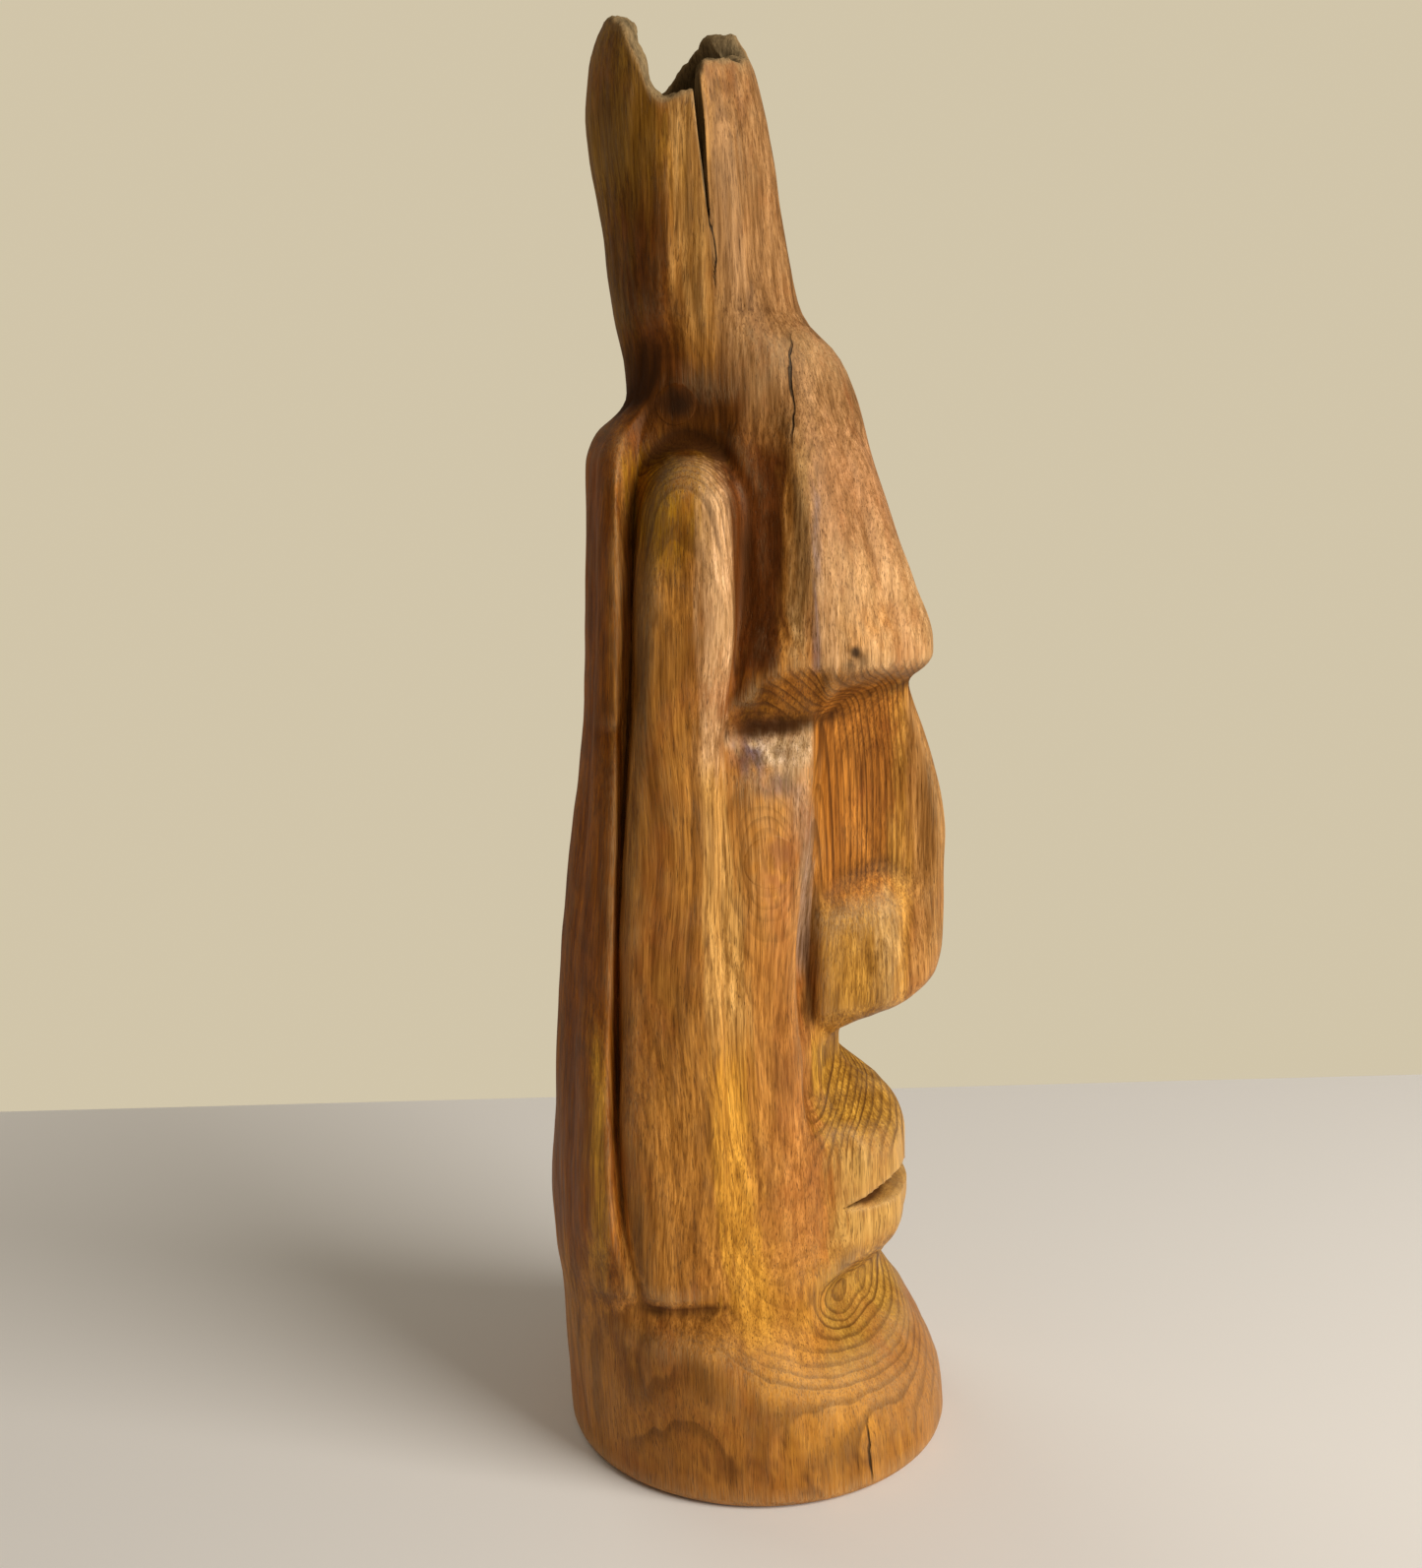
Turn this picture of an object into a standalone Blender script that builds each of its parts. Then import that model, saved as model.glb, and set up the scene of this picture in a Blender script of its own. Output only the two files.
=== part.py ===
"""Tiki figure: a hand-carved wooden head with long ears and a broken, hollow crown.

The figure is cut from one length of log. Its surface is a loft: eleven guide lines run up each
side, from the middle of the face round to the middle of the back, and every height has a cross
section through them. Below the face the section becomes the round of the log, and above the
brow it becomes the round of the crown, which is hollow and ends in a broken rim. The knots are
branch wood with their own grain, so each is a separate plug that sits in a socket in the log.

The face looks along -Y, +Z is up, and the origin is the centre of the flat underside.
Guide values are in millimetres and are scaled once, by MM.
"""
import math

import bmesh
import bpy
import numpy as np
from mathutils import Matrix, Vector

MM = 0.001

# Driving dimensions.
CENTRE_SHIFT = -1.5       # moves the guides' own zero to the middle of the log
BOTTOM_ROUND = 3.0        # worn edge round the underside
FOOT_INSET = 2.5          # how far the flat underside stands in from the lowest row
HOLLOW_FLOOR = 346.0      # bottom of the hollow in the crown
WALL = 7.5                # thickness of the crown's broken wall
RIM_CREST = 2.0           # how far the middle of the broken wall stands over its edges
HOLLOW_TAPER = 3.0        # how much narrower the hollow is at its floor
GAP = 0.3                 # clearance between a knot and its socket

# Heights between which the section changes from log to head, in front and behind the cheek, and
# from head to crown.
LOG_TO_HEAD = (24.0, 46.0)
LOG_TO_EAR = (43.0, 61.0)
HEAD_TO_CROWN = (288.0, 318.0)

# Middle of the face, bottom to top: height, y.
FRONT_LINE = [
    (0, -57.3), (12, -56.3), (22.6, -52.8), (33, -47.2), (39, -44), (44, -40.1), (49.5, -36.4),
    (54, -38), (59.6, -42.7), (64.8, -44.6), (70, -45.5), (75, -45.2), (80, -44.4), (85, -44.4),
    (90, -44.4), (95, -43.3), (100, -40.2), (105, -34.2), (110, -26.6), (115, -23.8),
    (120, -23.6), (124, -25), (128.5, -37), (132, -45), (136, -50.3), (140, -53), (147, -54.8),
    (163, -55.3), (178, -55.2), (191, -53.4), (201, -50.9), (211, -48.2), (219, -45.5),
    (224, -44.2), (228, -46.8), (232.5, -50.4), (237, -50.3), (250, -45.8), (268, -39.1),
    (286, -33.4), (303, -28.8), (311, -25.6), (316, -22.6), (320, -18.7), (325, -14.1),
    (333, -11.8), (349, -8.6), (366, -6.4), (382, -2.7), (390, 0), (396, 3), (402, 6)]

# Middle of the back, bottom to top: height, y.
BACK_LINE = [
    (0, 57), (20, 57.8), (38, 58.6), (60, 59.8), (75, 60.3), (105, 58.6), (130, 57.8),
    (145, 56.6), (163, 54), (182, 52), (200, 49), (219, 46.9), (240, 46.2), (277, 45.7),
    (286, 45.7), (291, 44.4), (295, 42), (299, 37.2), (304, 34.7), (311, 35.3), (325, 37.8),
    (349, 40.7), (366, 43.6), (376, 44.2), (390, 43.3), (396, 41.6), (402, 38.5)]

# Half width of the round sections below the face and above the brow: height, x.
SIDE_LINE = [
    (0, 58.5), (25, 58.3), (45, 56.2), (60, 52.5), (288, 33), (300, 30.5), (318, 28.5), (340, 27.5),
    (365, 26.5), (385, 24.5), (402, 21)]

# Guide lines of the head between the two middle lines: height, y, half width.
FRONT_EDGE = [
    (34, -46, 10), (50, -36, 10), (60, -41, 10), (70, -43.8, 10), (90, -42.6, 10),
    (105, -33.4, 10), (115, -23.4, 10), (121, -23.2, 10), (124, -24.5, 10), (128.5, -36, 10.5),
    (132, -43.6, 10.5), (136, -48.6, 10.5), (140, -51.2, 10), (150, -53.2, 9), (178, -53.4, 8),
    (201, -49.3, 8), (219, -44.2, 8), (224, -43, 9), (232.5, -49.2, 12), (237, -49, 12),
    (250, -44.4, 12), (268, -37.8, 11), (286, -32.2, 10), (318, -19, 8)]
NOSE_FOOT = [
    (34, -35.5, 31), (40, -31, 28), (46, -27.8, 25.4), (52, -27, 24.6), (57, -29, 26.2),
    (61, -31.3, 27.8), (70, -31, 28.5), (80, -30, 28.5), (90, -30, 28.5), (97, -27.5, 28),
    (102, -23.5, 25.5), (108, -20.5, 23.5), (115, -18.8, 22.2), (126, -17.5, 21), (132, -16, 21),
    (150, -14.5, 20.5), (165, -17, 19.5), (185, -20, 18.5), (205, -20, 18), (216, -20, 18.5),
    (222, -24, 21), (228, -35, 26), (233, -39, 27.5), (250, -34.5, 26), (268, -29, 25),
    (286, -24, 23), (318, -10, 20)]
CHEEK_EDGE = [
    (34, -17, 49.5), (46, -15.5, 44.5), (52, -15, 43), (60, -15, 42.3), (75, -17, 37.5),
    (88, -16.5, 35.5), (103, -13.5, 34.5), (118, -12.5, 34), (135, -11, 34), (150, -10.5, 34.5), (170, -12, 35.5), (190, -14, 36.5),
    (205, -15, 37.3), (217, -15, 38.4), (224, -15.5, 39.4), (233, -16, 40.8),
    (250, -15, 40.5), (271, -13, 38), (288, -10, 34), (318, -6, 24)]
EAR_FRONT = [
    (34, 9, 54), (60, 9, 50), (75, 9, 47.5), (107, 9, 44.5), (150, 9.5, 42), (200, 9, 40),
    (217, 8.5, 38.5), (232, 5.5, 37), (253, 4, 36), (278, 4, 35), (290, 5, 32.5), (318, 6, 28)]
EAR_BED = [
    (34, 12, 54), (60, 12, 50), (107, 12, 44.5), (150, 12.5, 42), (217, 11.5, 38.5),
    (232, 8.5, 37), (253, 7, 36), (278, 7, 34.5), (290, 8, 31.5), (318, 8, 28)]
EAR_REAR = [
    (34, 33, 49), (60, 33.5, 46.5), (79, 36, 45), (108, 37.5, 42), (149, 36.5, 39.5),
    (190, 34.5, 37.5), (229, 32, 35), (254, 31, 33.5), (275, 30, 31.5), (290, 29, 28),
    (318, 25, 24)]
GROOVE = [
    (34, 35, 48), (60, 35.5, 47), (70, 37, 45.5), (79, 38, 43.5), (108, 39, 39.5), (149, 38.2, 36.5),
    (190, 36, 34), (229, 33.8, 31.5), (254, 33, 30), (275, 32, 28.5), (290, 31, 26.5), (318, 28, 23)]
SLAB_EDGE = [
    (34, 38, 46), (60, 38, 47), (79, 41, 47), (108, 41.5, 45.5), (149, 40.2, 43), (190, 38.4, 41),
    (229, 37, 39), (254, 36.6, 38), (280, 36.4, 35.5), (290, 35.6, 31), (299, 33, 26), (318, 31, 21)]
BACK_CORNER = [
    (34, 52, 30), (60, 53, 30), (79, 53.5, 30), (108, 52.5, 30), (149, 50.5, 28.5), (190, 46.8, 27.5),
    (229, 43.8, 27), (254, 43, 26), (286, 42.5, 24), (295, 39.5, 20), (304, 33.5, 16), (318, 34, 12)]

# How far each facet between two guides bows outwards: height, bow.
FACET_BOW = [
    [(34, 0.6), (232, 1.0), (318, 0.6)],
    [(34, 2), (44, 0), (50, -0.6), (58, 1), (66, 3.2), (88, 3.4), (104, 1), (118, -0.8), (130, 1),
     (146, 1), (160, 0), (172, -3.8), (190, -4.4), (205, -3.6), (222, 0), (234, 3), (268, 2.6), (318, 1)],
    [(34, 2), (42, 0.4), (50, -1), (60, 0), (70, -1.6), (96, -1.8), (110, -2.6), (122, -1.6),
     (150, -2.5), (190, -1.2), (215, -0.5), (234, 3.6), (268, 3), (318, 1)],
    [(34, 1), (60, 0.4), (100, 0.8), (180, 1.2), (212, 0.8), (224, 1.6), (234, 0.8), (248, -2.2),
     (266, -3), (318, 0)],
    [(34, 0.2), (318, 0.2)],
    [(34, 1), (60, 1.5), (280, 1.5), (318, 1)],
    [(34, 0), (318, 0)],
    [(34, 0), (318, 0)],
    [(34, 1), (60, 2), (160, 2), (286, 1.2), (318, 0.5)],
    [(34, 2), (60, 3), (160, 2.5), (286, 1.6), (318, 1)]]

# Where the guides stand on the round sections, in degrees from the middle of the face.
LOG_ANGLES = [0, 11, 38, 70, 97, 101, 125, 128, 132, 152, 180]
CROWN_ANGLES = [0, 14, 37, 58, 73, 87, 117, 124, 131, 156, 180]

# Ear: outline in height and y, and how far its face stands from the middle plane.
EAR_EDGE_FRONT = [(58, 9), (107, 9), (150, 10), (190, 10), (218, 9), (244, 6), (264, 5), (276, 4.5)]
EAR_EDGE_REAR = [(58, 33), (79, 37), (108, 38.6), (149, 38), (190, 36), (229, 33.2), (276, 31)]
EAR_FACE = [(58, 52), (75, 50.2), (107, 48.6), (150, 47), (200, 46.2), (244, 46), (276, 45), (290, 43)]
EAR_DOME = (271.0, 17.5)      # where the round top starts, and its height
EAR_EDGE = (4.5, 9.0)         # width of its rounded edge, low down and at the dome
EAR_CROWN = 2.2               # how far its face bows out across its width
EAR_FOOT = 58.0
EAR_MOAT = (-2.4, 2.4, 2.4)   # ditch round the upper ear: how far off, spread, depth
MOAT_HEIGHTS = (222.0, 260.0)
MOAT_BACK = 34.0              # it stops short of the groove behind the ear

# Recess cut in over the ear: centre y, centre height, half length, half height, depth.
EAR_RECESS = (19.0, 295.5, 15.0, 8.5, 5.5)

# Brow: height of its lower edge, and of the bottom of the socket under it, by y; socket depth.
BROW_EDGE = [(-16, 233.5), (-12, 233), (-3, 230), (2, 225), (8, 221), (11, 217.5)]
SOCKET_EDGE = [(-17, 221), (-14, 218), (-4, 215.5), (10, 214.5)]
SOCKET_DEPTH = 6.2
SOCKET_RUN = 13.0             # how far below its deepest line the socket runs out
SOCKET_FRONT = (-20.0, -15.0)  # it starts between these, and grows shallow towards the ear
SOCKET_BACK = (1.0, 11.0)

# Wing of the nose: height of its top edge by y, and how far it stands out.
WING_TOP = [(-47, 150), (-42, 164), (-36, 168.5), (-27, 166), (-20, 164), (-15, 162)]
WING_OUT = 4.2
WING_FOOT = (124.0, 134.0)    # it rises between these heights, and between the y of its ends
WING_ENDS = (-48.0, -38.0, -19.0, -14.5)

# Scoops beside the upper lip and under the lower: half width, height, spreads in both, depth.
SCOOPS = [(25, 109, 8, 9, 1.8), (27, 50, 9, 9, 1.2)]
SCOOP_BACK = (-16.0, -6.0)    # they fade out between these

# Mouth: distance from the middle, height of its line, half opening, depth.
MOUTH = [
    (0, 77.2, 2.8, 9.0), (10, 78.2, 3.3, 9.0), (18, 79.0, 3.3, 7.6), (24, 78.4, 2.7, 5.2),
    (28, 77.2, 1.6, 2.6), (31, 76.2, 0.5, 0.0)]
LOG_AXIS = -8.0               # the mouth is cut towards this y in the middle of the log

# Broken rim of the crown: degrees from the face, positive on the figure's right; height.
RIM = [
    (-180, 399), (-150, 397.5), (-138, 393), (-124, 386), (-108, 384.5), (-92, 389), (-75, 393),
    (-58, 396), (-40, 397.5), (-20, 398), (-6, 396.5), (10, 391), (24, 388.5), (40, 387), (58, 386.5),
    (70, 385.5), (76, 382), (87, 377.5), (100, 376.5), (107, 378), (114, 386), (122, 393),
    (134, 397.5), (155, 399), (180, 399)]
CRACK_ANGLE = 80.0            # drying crack down the right side of the crown
CRACK_FOOT = 348.0
CRACK_TOP = 385.0
CRACK_HALF = (1.1, 3.4)       # half width in degrees at its foot and at the rim
CRACK_LEAN = 5.0              # degrees it leans forwards by the rim
CRACK_COLUMN = (4.5, 1.2)     # guide the crack stands at, and how far round its lean reaches

# Knots: name, centre on the surface (x, y, z), degrees the branch points forwards, radius at the
# surface, depth, sides, colour. Each narrows towards the middle of the log, as a branch does.
KNOTS = [
    ("cheek_knot", (-37.5, -5.0, 180.0), 8.0, 7.5, 12.0, 20, (0.36, 0.16, 0.06)),
    ("temple_knot", (-26.0, 19.5, 301.0), -8.0, 5.5, 11.0, 16, (0.10, 0.045, 0.02)),
    ("brow_knot", (-38.3, -27.0, 236.5), 30.0, 2.6, 8.0, 12, (0.16, 0.07, 0.03))]
KNOT_TAPER = 0.62

FACET_COLUMNS = [2, 4, 4, 4, 6, 5, 2, 1, 2, 3]     # faces across each facet
ROW_HEIGHTS = [
    1.5, 5, 14, 24, 34, 40, 45, 49, 53, 57, 61, 66, 71, 73.6, 75.6, 78.2, 80.6, 82.6, 86, 91,
    96, 100, 104, 109, 115, 120, 125, 129, 133, 138, 146, 156, 162, 168, 174, 184, 196, 204, 211,
    215, 218, 221.5, 225, 229, 233, 238,
    248, 260, 270, 276, 281, 285, 289, 293, 298, 304, 311, 318, 326, 338, 349, 360, 371, 383,
    393, 400]
RIM_STEPS = 4
HOLLOW_STEPS = 5
COLOURS = {"carved_log": (0.42, 0.21, 0.08)}


def along(knots, value, item=1):
    """Read a smooth curve through knots (place, level, ...), without overshoot, at every value."""
    place = np.array([k[0] for k in knots], float)
    level = np.array([k[item] for k in knots], float)
    gaps = np.diff(place)
    slope = np.diff(level) / gaps
    bend = np.zeros_like(level)
    same = slope[:-1] * slope[1:] > 0
    before, after = np.where(same, slope[:-1], 1.0), np.where(same, slope[1:], 1.0)
    bend[1:-1] = np.where(same, 2.0 * before * after / (before + after), 0.0)
    bend[0], bend[-1] = slope[0], slope[-1]
    value = np.clip(value, place[0], place[-1])
    i = np.clip(np.searchsorted(place, value) - 1, 0, len(gaps) - 1)
    t = (value - place[i]) / gaps[i]
    return ((1 + 2 * t) * (1 - t) ** 2 * level[i] + t * (1 - t) ** 2 * gaps[i] * bend[i]
            + t * t * (3 - 2 * t) * level[i + 1] - t * t * (1 - t) * gaps[i] * bend[i + 1])


def ease(value, low, high):
    """Rise smoothly from 0 at low to 1 at high."""
    t = np.clip((value - low) / (high - low), 0.0, 1.0)
    return t * t * (3 - 2 * t)


def guide_places(z):
    """Return y and half width of the eleven guides at heights z, one guide a row."""
    front, back = along(FRONT_LINE, z), along(BACK_LINE, z)
    places = [(front, np.zeros_like(z))]
    for guide in (FRONT_EDGE, NOSE_FOOT, CHEEK_EDGE, EAR_FRONT, EAR_BED, EAR_REAR, GROOVE,
                  SLAB_EDGE, BACK_CORNER):
        places.append((along(guide, z), along(guide, z, 2)))
    places.append((back, np.zeros_like(z)))
    return places


def head_section(column, z):
    """Lay each column on its facet, a chord between two guides that bows outwards."""
    places = guide_places(z)
    facet = np.minimum(column.astype(int), len(places) - 2)
    t = column - facet
    y, x = np.zeros_like(z), np.zeros_like(z)
    for k, bow_line in enumerate(FACET_BOW):
        here = facet == k
        (y0, x0), (y1, x1) = places[k], places[k + 1]
        length = np.hypot(y1 - y0, x1 - x0) + 1e-9
        bow = along(bow_line, z) * 4 * t * (1 - t)
        y = np.where(here, y0 + (y1 - y0) * t - bow * (x1 - x0) / length, y)
        x = np.where(here, x0 + (x1 - x0) * t + bow * (y1 - y0) / length, x)
    return y, x


def round_section(column, z, angles, lean):
    """Place each column by its angle, less a lean, on an oval through the middle lines."""
    front, back = along(FRONT_LINE, z), along(BACK_LINE, z)
    turn = np.radians(np.interp(column, np.arange(len(angles)), angles) - lean)
    return ((front + back) / 2 - (back - front) / 2 * np.cos(turn),
            along(SIDE_LINE, z) * np.sin(turn))


def bump(value, middle, spread):
    """Stand at 1 at the middle and die away over the spread."""
    return np.exp(-((value - middle) / spread) ** 2)


def ear_inside(y, z):
    """How far inside the ear's outline a place is, and how far across it from -1 to 1."""
    low, high = along(EAR_EDGE_FRONT, z), along(EAR_EDGE_REAR, z)
    middle, half = (low + high) / 2, (high - low) / 2
    dome = np.maximum(z - EAR_DOME[0], 0) / EAR_DOME[1]
    across = (y - middle) / half
    return half * (1 - np.hypot(across, dome)), across


def add_ear(y, x, z):
    """Raise the ear: a long bar with a round top, elliptic at its edges."""
    inside, across = ear_inside(y, z)
    width = EAR_EDGE[0] + (EAR_EDGE[1] - EAR_EDGE[0]) * ease(z, EAR_DOME[0] - 30, EAR_DOME[0])
    edge = np.clip(inside / width, 0, 1) * ease(z, EAR_FOOT - 1, EAR_FOOT + 3)
    face = along(EAR_FACE, z) - EAR_CROWN * across ** 2
    return x + np.sqrt(1 - (1 - edge) ** 2) * np.maximum(face - x, 0)


def cut_round_ear(y, x, z):
    """Cut the ditch round the upper ear and the bowl over it."""
    away, spread, depth = EAR_MOAT
    x = x - depth * bump(ear_inside(y, z)[0], away, spread) * ease(z, *MOAT_HEIGHTS) * (y < MOAT_BACK)
    middle, height, length, tall, deep = EAR_RECESS
    return x - deep * bump(y, middle, length) * bump(z, height, tall)


def cut_socket(y, x, z):
    """Undercut the slanting brow, from its edge in to the socket and out again below."""
    edge, low = along(BROW_EDGE, y), along(SOCKET_EDGE, y)
    inward = np.clip((edge - z) / (edge - low), 0, 1) ** 0.8
    outward = 1 - np.clip((low - z) / SOCKET_RUN, 0, 1)
    return x - SOCKET_DEPTH * inward * outward * ease(y, *SOCKET_FRONT) * (1 - 0.8 * ease(y, *SOCKET_BACK))


def add_wing(y, x, z):
    """Swell the wing of the nose below its top edge, from the crease to the nose's ridge."""
    wing = ease(along(WING_TOP, y) - z, -4, 7) * ease(z, *WING_FOOT)
    return x + WING_OUT * wing * ease(y, *WING_ENDS[:2]) * (1 - ease(y, *WING_ENDS[2:]))


def cut_scoops(y, x, z):
    """Draw the face in towards the middle at each scoop."""
    for wide, high, across, tall, depth in SCOOPS:
        inward = depth * bump(x, wide, across) * bump(z, high, tall) * (1 - ease(y, *SCOOP_BACK))
        reach = np.hypot(x, y - 4) + 1e-9
        y, x = y - inward * (y - 4) / reach, x - inward * x / reach
    return y, x


def cut_mouth(y, x, z):
    """Cut the mouth back towards the log's middle as a wedge that closes at its corners."""
    line, half, depth = along(MOUTH, x), along(MOUTH, x, 2), along(MOUTH, x, 3)
    bite = depth * np.clip(1 - np.abs(z - line) / half, 0, 1) ** 0.8 * (y < -20)
    reach = np.hypot(x, y - LOG_AXIS) + 1e-9
    return y - bite * (y - LOG_AXIS) / reach, x - bite * x / reach


def surface(column, z):
    """Return y and half width of the outer surface for columns and heights."""
    y, x = head_section(column, z)
    lean = CRACK_LEAN * ease(z, CRACK_FOOT, CRACK_TOP) * bump(column, *CRACK_COLUMN)
    log_y, log_x = round_section(column, z, LOG_ANGLES, 0)
    crown_y, crown_x = round_section(column, z, CROWN_ANGLES, lean)
    behind = ease(column, 2.5, 4)
    low = 1 - ease(z, LOG_TO_HEAD[0] + (LOG_TO_EAR[0] - LOG_TO_HEAD[0]) * behind,
                   LOG_TO_HEAD[1] + (LOG_TO_EAR[1] - LOG_TO_HEAD[1]) * behind)
    high = ease(z, *HEAD_TO_CROWN)
    y = y + (log_y - y) * low + (crown_y - y) * high
    x = x + (log_x - x) * low + (crown_x - x) * high
    y, x = cut_scoops(y, x, z)
    x = add_wing(y, cut_socket(y, x, z), z)
    x = cut_round_ear(y, x, z)
    x = add_ear(y, x, z)
    return cut_mouth(y, x, z)


def rim_height(angle):
    """Height of the broken rim, with the drying crack as a narrow slot in it."""
    height = along(RIM, angle)
    off = np.abs(angle - CRACK_ANGLE)
    slot = CRACK_FOOT + (height - CRACK_FOOT) * np.clip(
        (off - CRACK_HALF[0]) / (CRACK_HALF[1] - CRACK_HALF[0]), 0, 1)
    return np.minimum(height, slot)


def log_grid():
    """Return the rows of the log's surface, from the underside up and down into the hollow."""
    half = np.concatenate([k + np.arange(n) / n for k, n in enumerate(FACET_COLUMNS)])
    column = np.concatenate([half, [len(FACET_COLUMNS)], half[:0:-1]])
    side = np.concatenate([-np.ones(len(half)), [-1], np.ones(len(half) - 1)])
    angle = np.interp(column, np.arange(len(CROWN_ANGLES)), CROWN_ANGLES) * -side
    rim = rim_height(angle)
    rows = []
    for level in ROW_HEIGHTS:
        stretch = np.clip((level - HEAD_TO_CROWN[1]) / (400 - HEAD_TO_CROWN[1]), 0, 1)
        z = level + (rim - 400) * stretch
        y, x = surface(column, z)
        if level < BOTTOM_ROUND:
            inset = BOTTOM_ROUND - math.sqrt(BOTTOM_ROUND ** 2 - (BOTTOM_ROUND - level) ** 2)
            radius = np.hypot(x, y)
            y, x = y * (1 - inset / radius), x * (1 - inset / radius)
        rows.append(np.stack([side * x, y, z], 1))
    foot = rows[0].copy()
    foot[:, :2] *= 1 - FOOT_INSET / np.hypot(foot[:, 0], foot[:, 1])[:, None]
    foot[:, 2] = 0
    rows.insert(0, foot)
    # Over the rim, then down the inner wall, which follows the outer one at the wall's thickness.
    crest = RIM_CREST * (rim > CRACK_FOOT + RIM_CREST)
    for step in range(1, RIM_STEPS + 1):
        turn = math.pi * step / RIM_STEPS
        rows.append(inner_ring(rows[len(ROW_HEIGHTS)], WALL * (1 - math.cos(turn)) / 2,
                               rim + crest * math.sin(turn)))
    for step in range(1, HOLLOW_STEPS + 1):
        t = step / HOLLOW_STEPS
        z = rim + (HOLLOW_FLOOR - rim) * t
        y, x = surface(column, z)
        rows.append(inner_ring(np.stack([side * x, y, z], 1), WALL + HOLLOW_TAPER * t * t, z))
    return rows


def inner_ring(ring, shrink, z):
    """Shrink a ring towards its own middle by a distance and put it at heights z."""
    middle = np.array([0.0, (ring[:, 1].min() + ring[:, 1].max()) / 2])
    arm = ring[:, :2] - middle
    arm = arm * (1 - shrink / np.hypot(arm[:, 0], arm[:, 1]))[:, None]
    return np.column_stack([middle + arm, z])


def finish_object(name, verts, faces, colour, roughness):
    """Put a mesh into the scene with a material of its own."""
    mesh = bpy.data.meshes.new(name)
    mesh.from_pydata(verts, [], faces)
    mesh.validate()
    material = bpy.data.materials.new(name)
    material.use_nodes = True
    shader = material.node_tree.nodes["Principled BSDF"]
    shader.inputs["Base Color"].default_value = (*colour, 1.0)
    shader.inputs["Roughness"].default_value = roughness
    shader.inputs["Metallic"].default_value = 0.0
    mesh.materials.append(material)
    obj = bpy.data.objects.new(name, mesh)
    bpy.context.scene.collection.objects.link(obj)
    return obj


def make_log(name):
    """Close the rows into one solid, with a centre point below and one in the hollow."""
    rows = log_grid()
    count = len(rows[0])
    floor_middle = (rows[-1][:, 1].min() + rows[-1][:, 1].max()) / 2
    verts = np.concatenate(rows)
    verts = np.vstack([verts, [0, 0, 0], [0, floor_middle, HOLLOW_FLOOR - HOLLOW_TAPER]])
    verts[:, 1] += CENTRE_SHIFT
    faces = []
    for r in range(len(rows) - 1):
        for c in range(count):
            d = (c + 1) % count
            faces.append((r * count + c, (r + 1) * count + c, (r + 1) * count + d, r * count + d))
    last = (len(rows) - 1) * count
    for c in range(count):
        d = (c + 1) % count
        faces.append((c, d, len(verts) - 2))
        faces.append((last + d, last + c, len(verts) - 1))
    return finish_object(name, (verts * MM).tolist(), faces, COLOURS["carved_log"], 0.45)


def make_cone(name, place, forwards, radius, depth, sides, colour):
    """Make a cone along a branch, from well outside the surface down to its depth."""
    outside = radius + 4.0
    slope = radius * (1 - KNOT_TAPER) / depth
    mesh = bmesh.new()
    bmesh.ops.create_cone(
        mesh, cap_ends=True, segments=sides, radius1=radius * KNOT_TAPER * MM,
        radius2=(radius + slope * outside) * MM, depth=(depth + outside) * MM)
    turn = Matrix.Rotation(math.radians(forwards), 4, "Z") @ Matrix.Rotation(-math.pi / 2, 4, "Y")
    out = turn @ Vector((0, 0, 1))
    centre = Vector(place) * MM + out * (outside - depth) / 2 * MM
    bmesh.ops.transform(mesh, matrix=Matrix.Translation(centre) @ turn, verts=mesh.verts)
    verts = [v.co[:] for v in mesh.verts]
    faces = [[v.index for v in f.verts] for f in mesh.faces]
    mesh.free()
    return finish_object(name, verts, faces, colour, 0.5)


def hide_guide(obj):
    """Mark an object as a guide that isn't part of the figure."""
    obj.hide_render = True
    obj.display_type = "WIRE"


def cut(obj, tool, operation):
    """Add an exact Boolean of one object with another."""
    modifier = obj.modifiers.new(tool.name, "BOOLEAN")
    modifier.operation = operation
    modifier.solver = "EXACT"
    modifier.object = tool


def main():
    for obj in list(bpy.data.objects):
        bpy.data.objects.remove(obj, do_unlink=True)
    log = make_log("carved_log")
    blank = bpy.data.objects.new("log_blank", log.data)
    bpy.context.scene.collection.objects.link(blank)
    hide_guide(blank)
    for name, place, forwards, radius, depth, sides, colour in KNOTS:
        knot = make_cone(name, place, forwards, radius, depth, sides, colour)
        cut(knot, blank, "INTERSECT")
        socket = make_cone(name + "_socket", place, forwards, radius + GAP, depth + GAP, sides, colour)
        hide_guide(socket)
        cut(log, socket, "DIFFERENCE")


main()
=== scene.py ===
import math

import bpy
import numpy as np
from mathutils import Matrix


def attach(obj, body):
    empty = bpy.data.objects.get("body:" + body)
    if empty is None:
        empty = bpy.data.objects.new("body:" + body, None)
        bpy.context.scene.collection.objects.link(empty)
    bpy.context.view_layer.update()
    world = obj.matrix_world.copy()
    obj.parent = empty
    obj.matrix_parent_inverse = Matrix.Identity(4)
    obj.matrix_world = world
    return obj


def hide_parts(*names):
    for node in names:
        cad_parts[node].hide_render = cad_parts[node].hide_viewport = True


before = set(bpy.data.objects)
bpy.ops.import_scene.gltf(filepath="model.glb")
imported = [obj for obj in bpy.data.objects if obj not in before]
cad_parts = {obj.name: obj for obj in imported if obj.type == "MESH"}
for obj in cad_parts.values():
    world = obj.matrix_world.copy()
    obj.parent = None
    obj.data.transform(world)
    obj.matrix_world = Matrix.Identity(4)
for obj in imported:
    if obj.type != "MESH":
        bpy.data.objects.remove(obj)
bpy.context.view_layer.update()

mm = 0.001  # the carving's own numbers are in millimetres, and are scaled once


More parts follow.
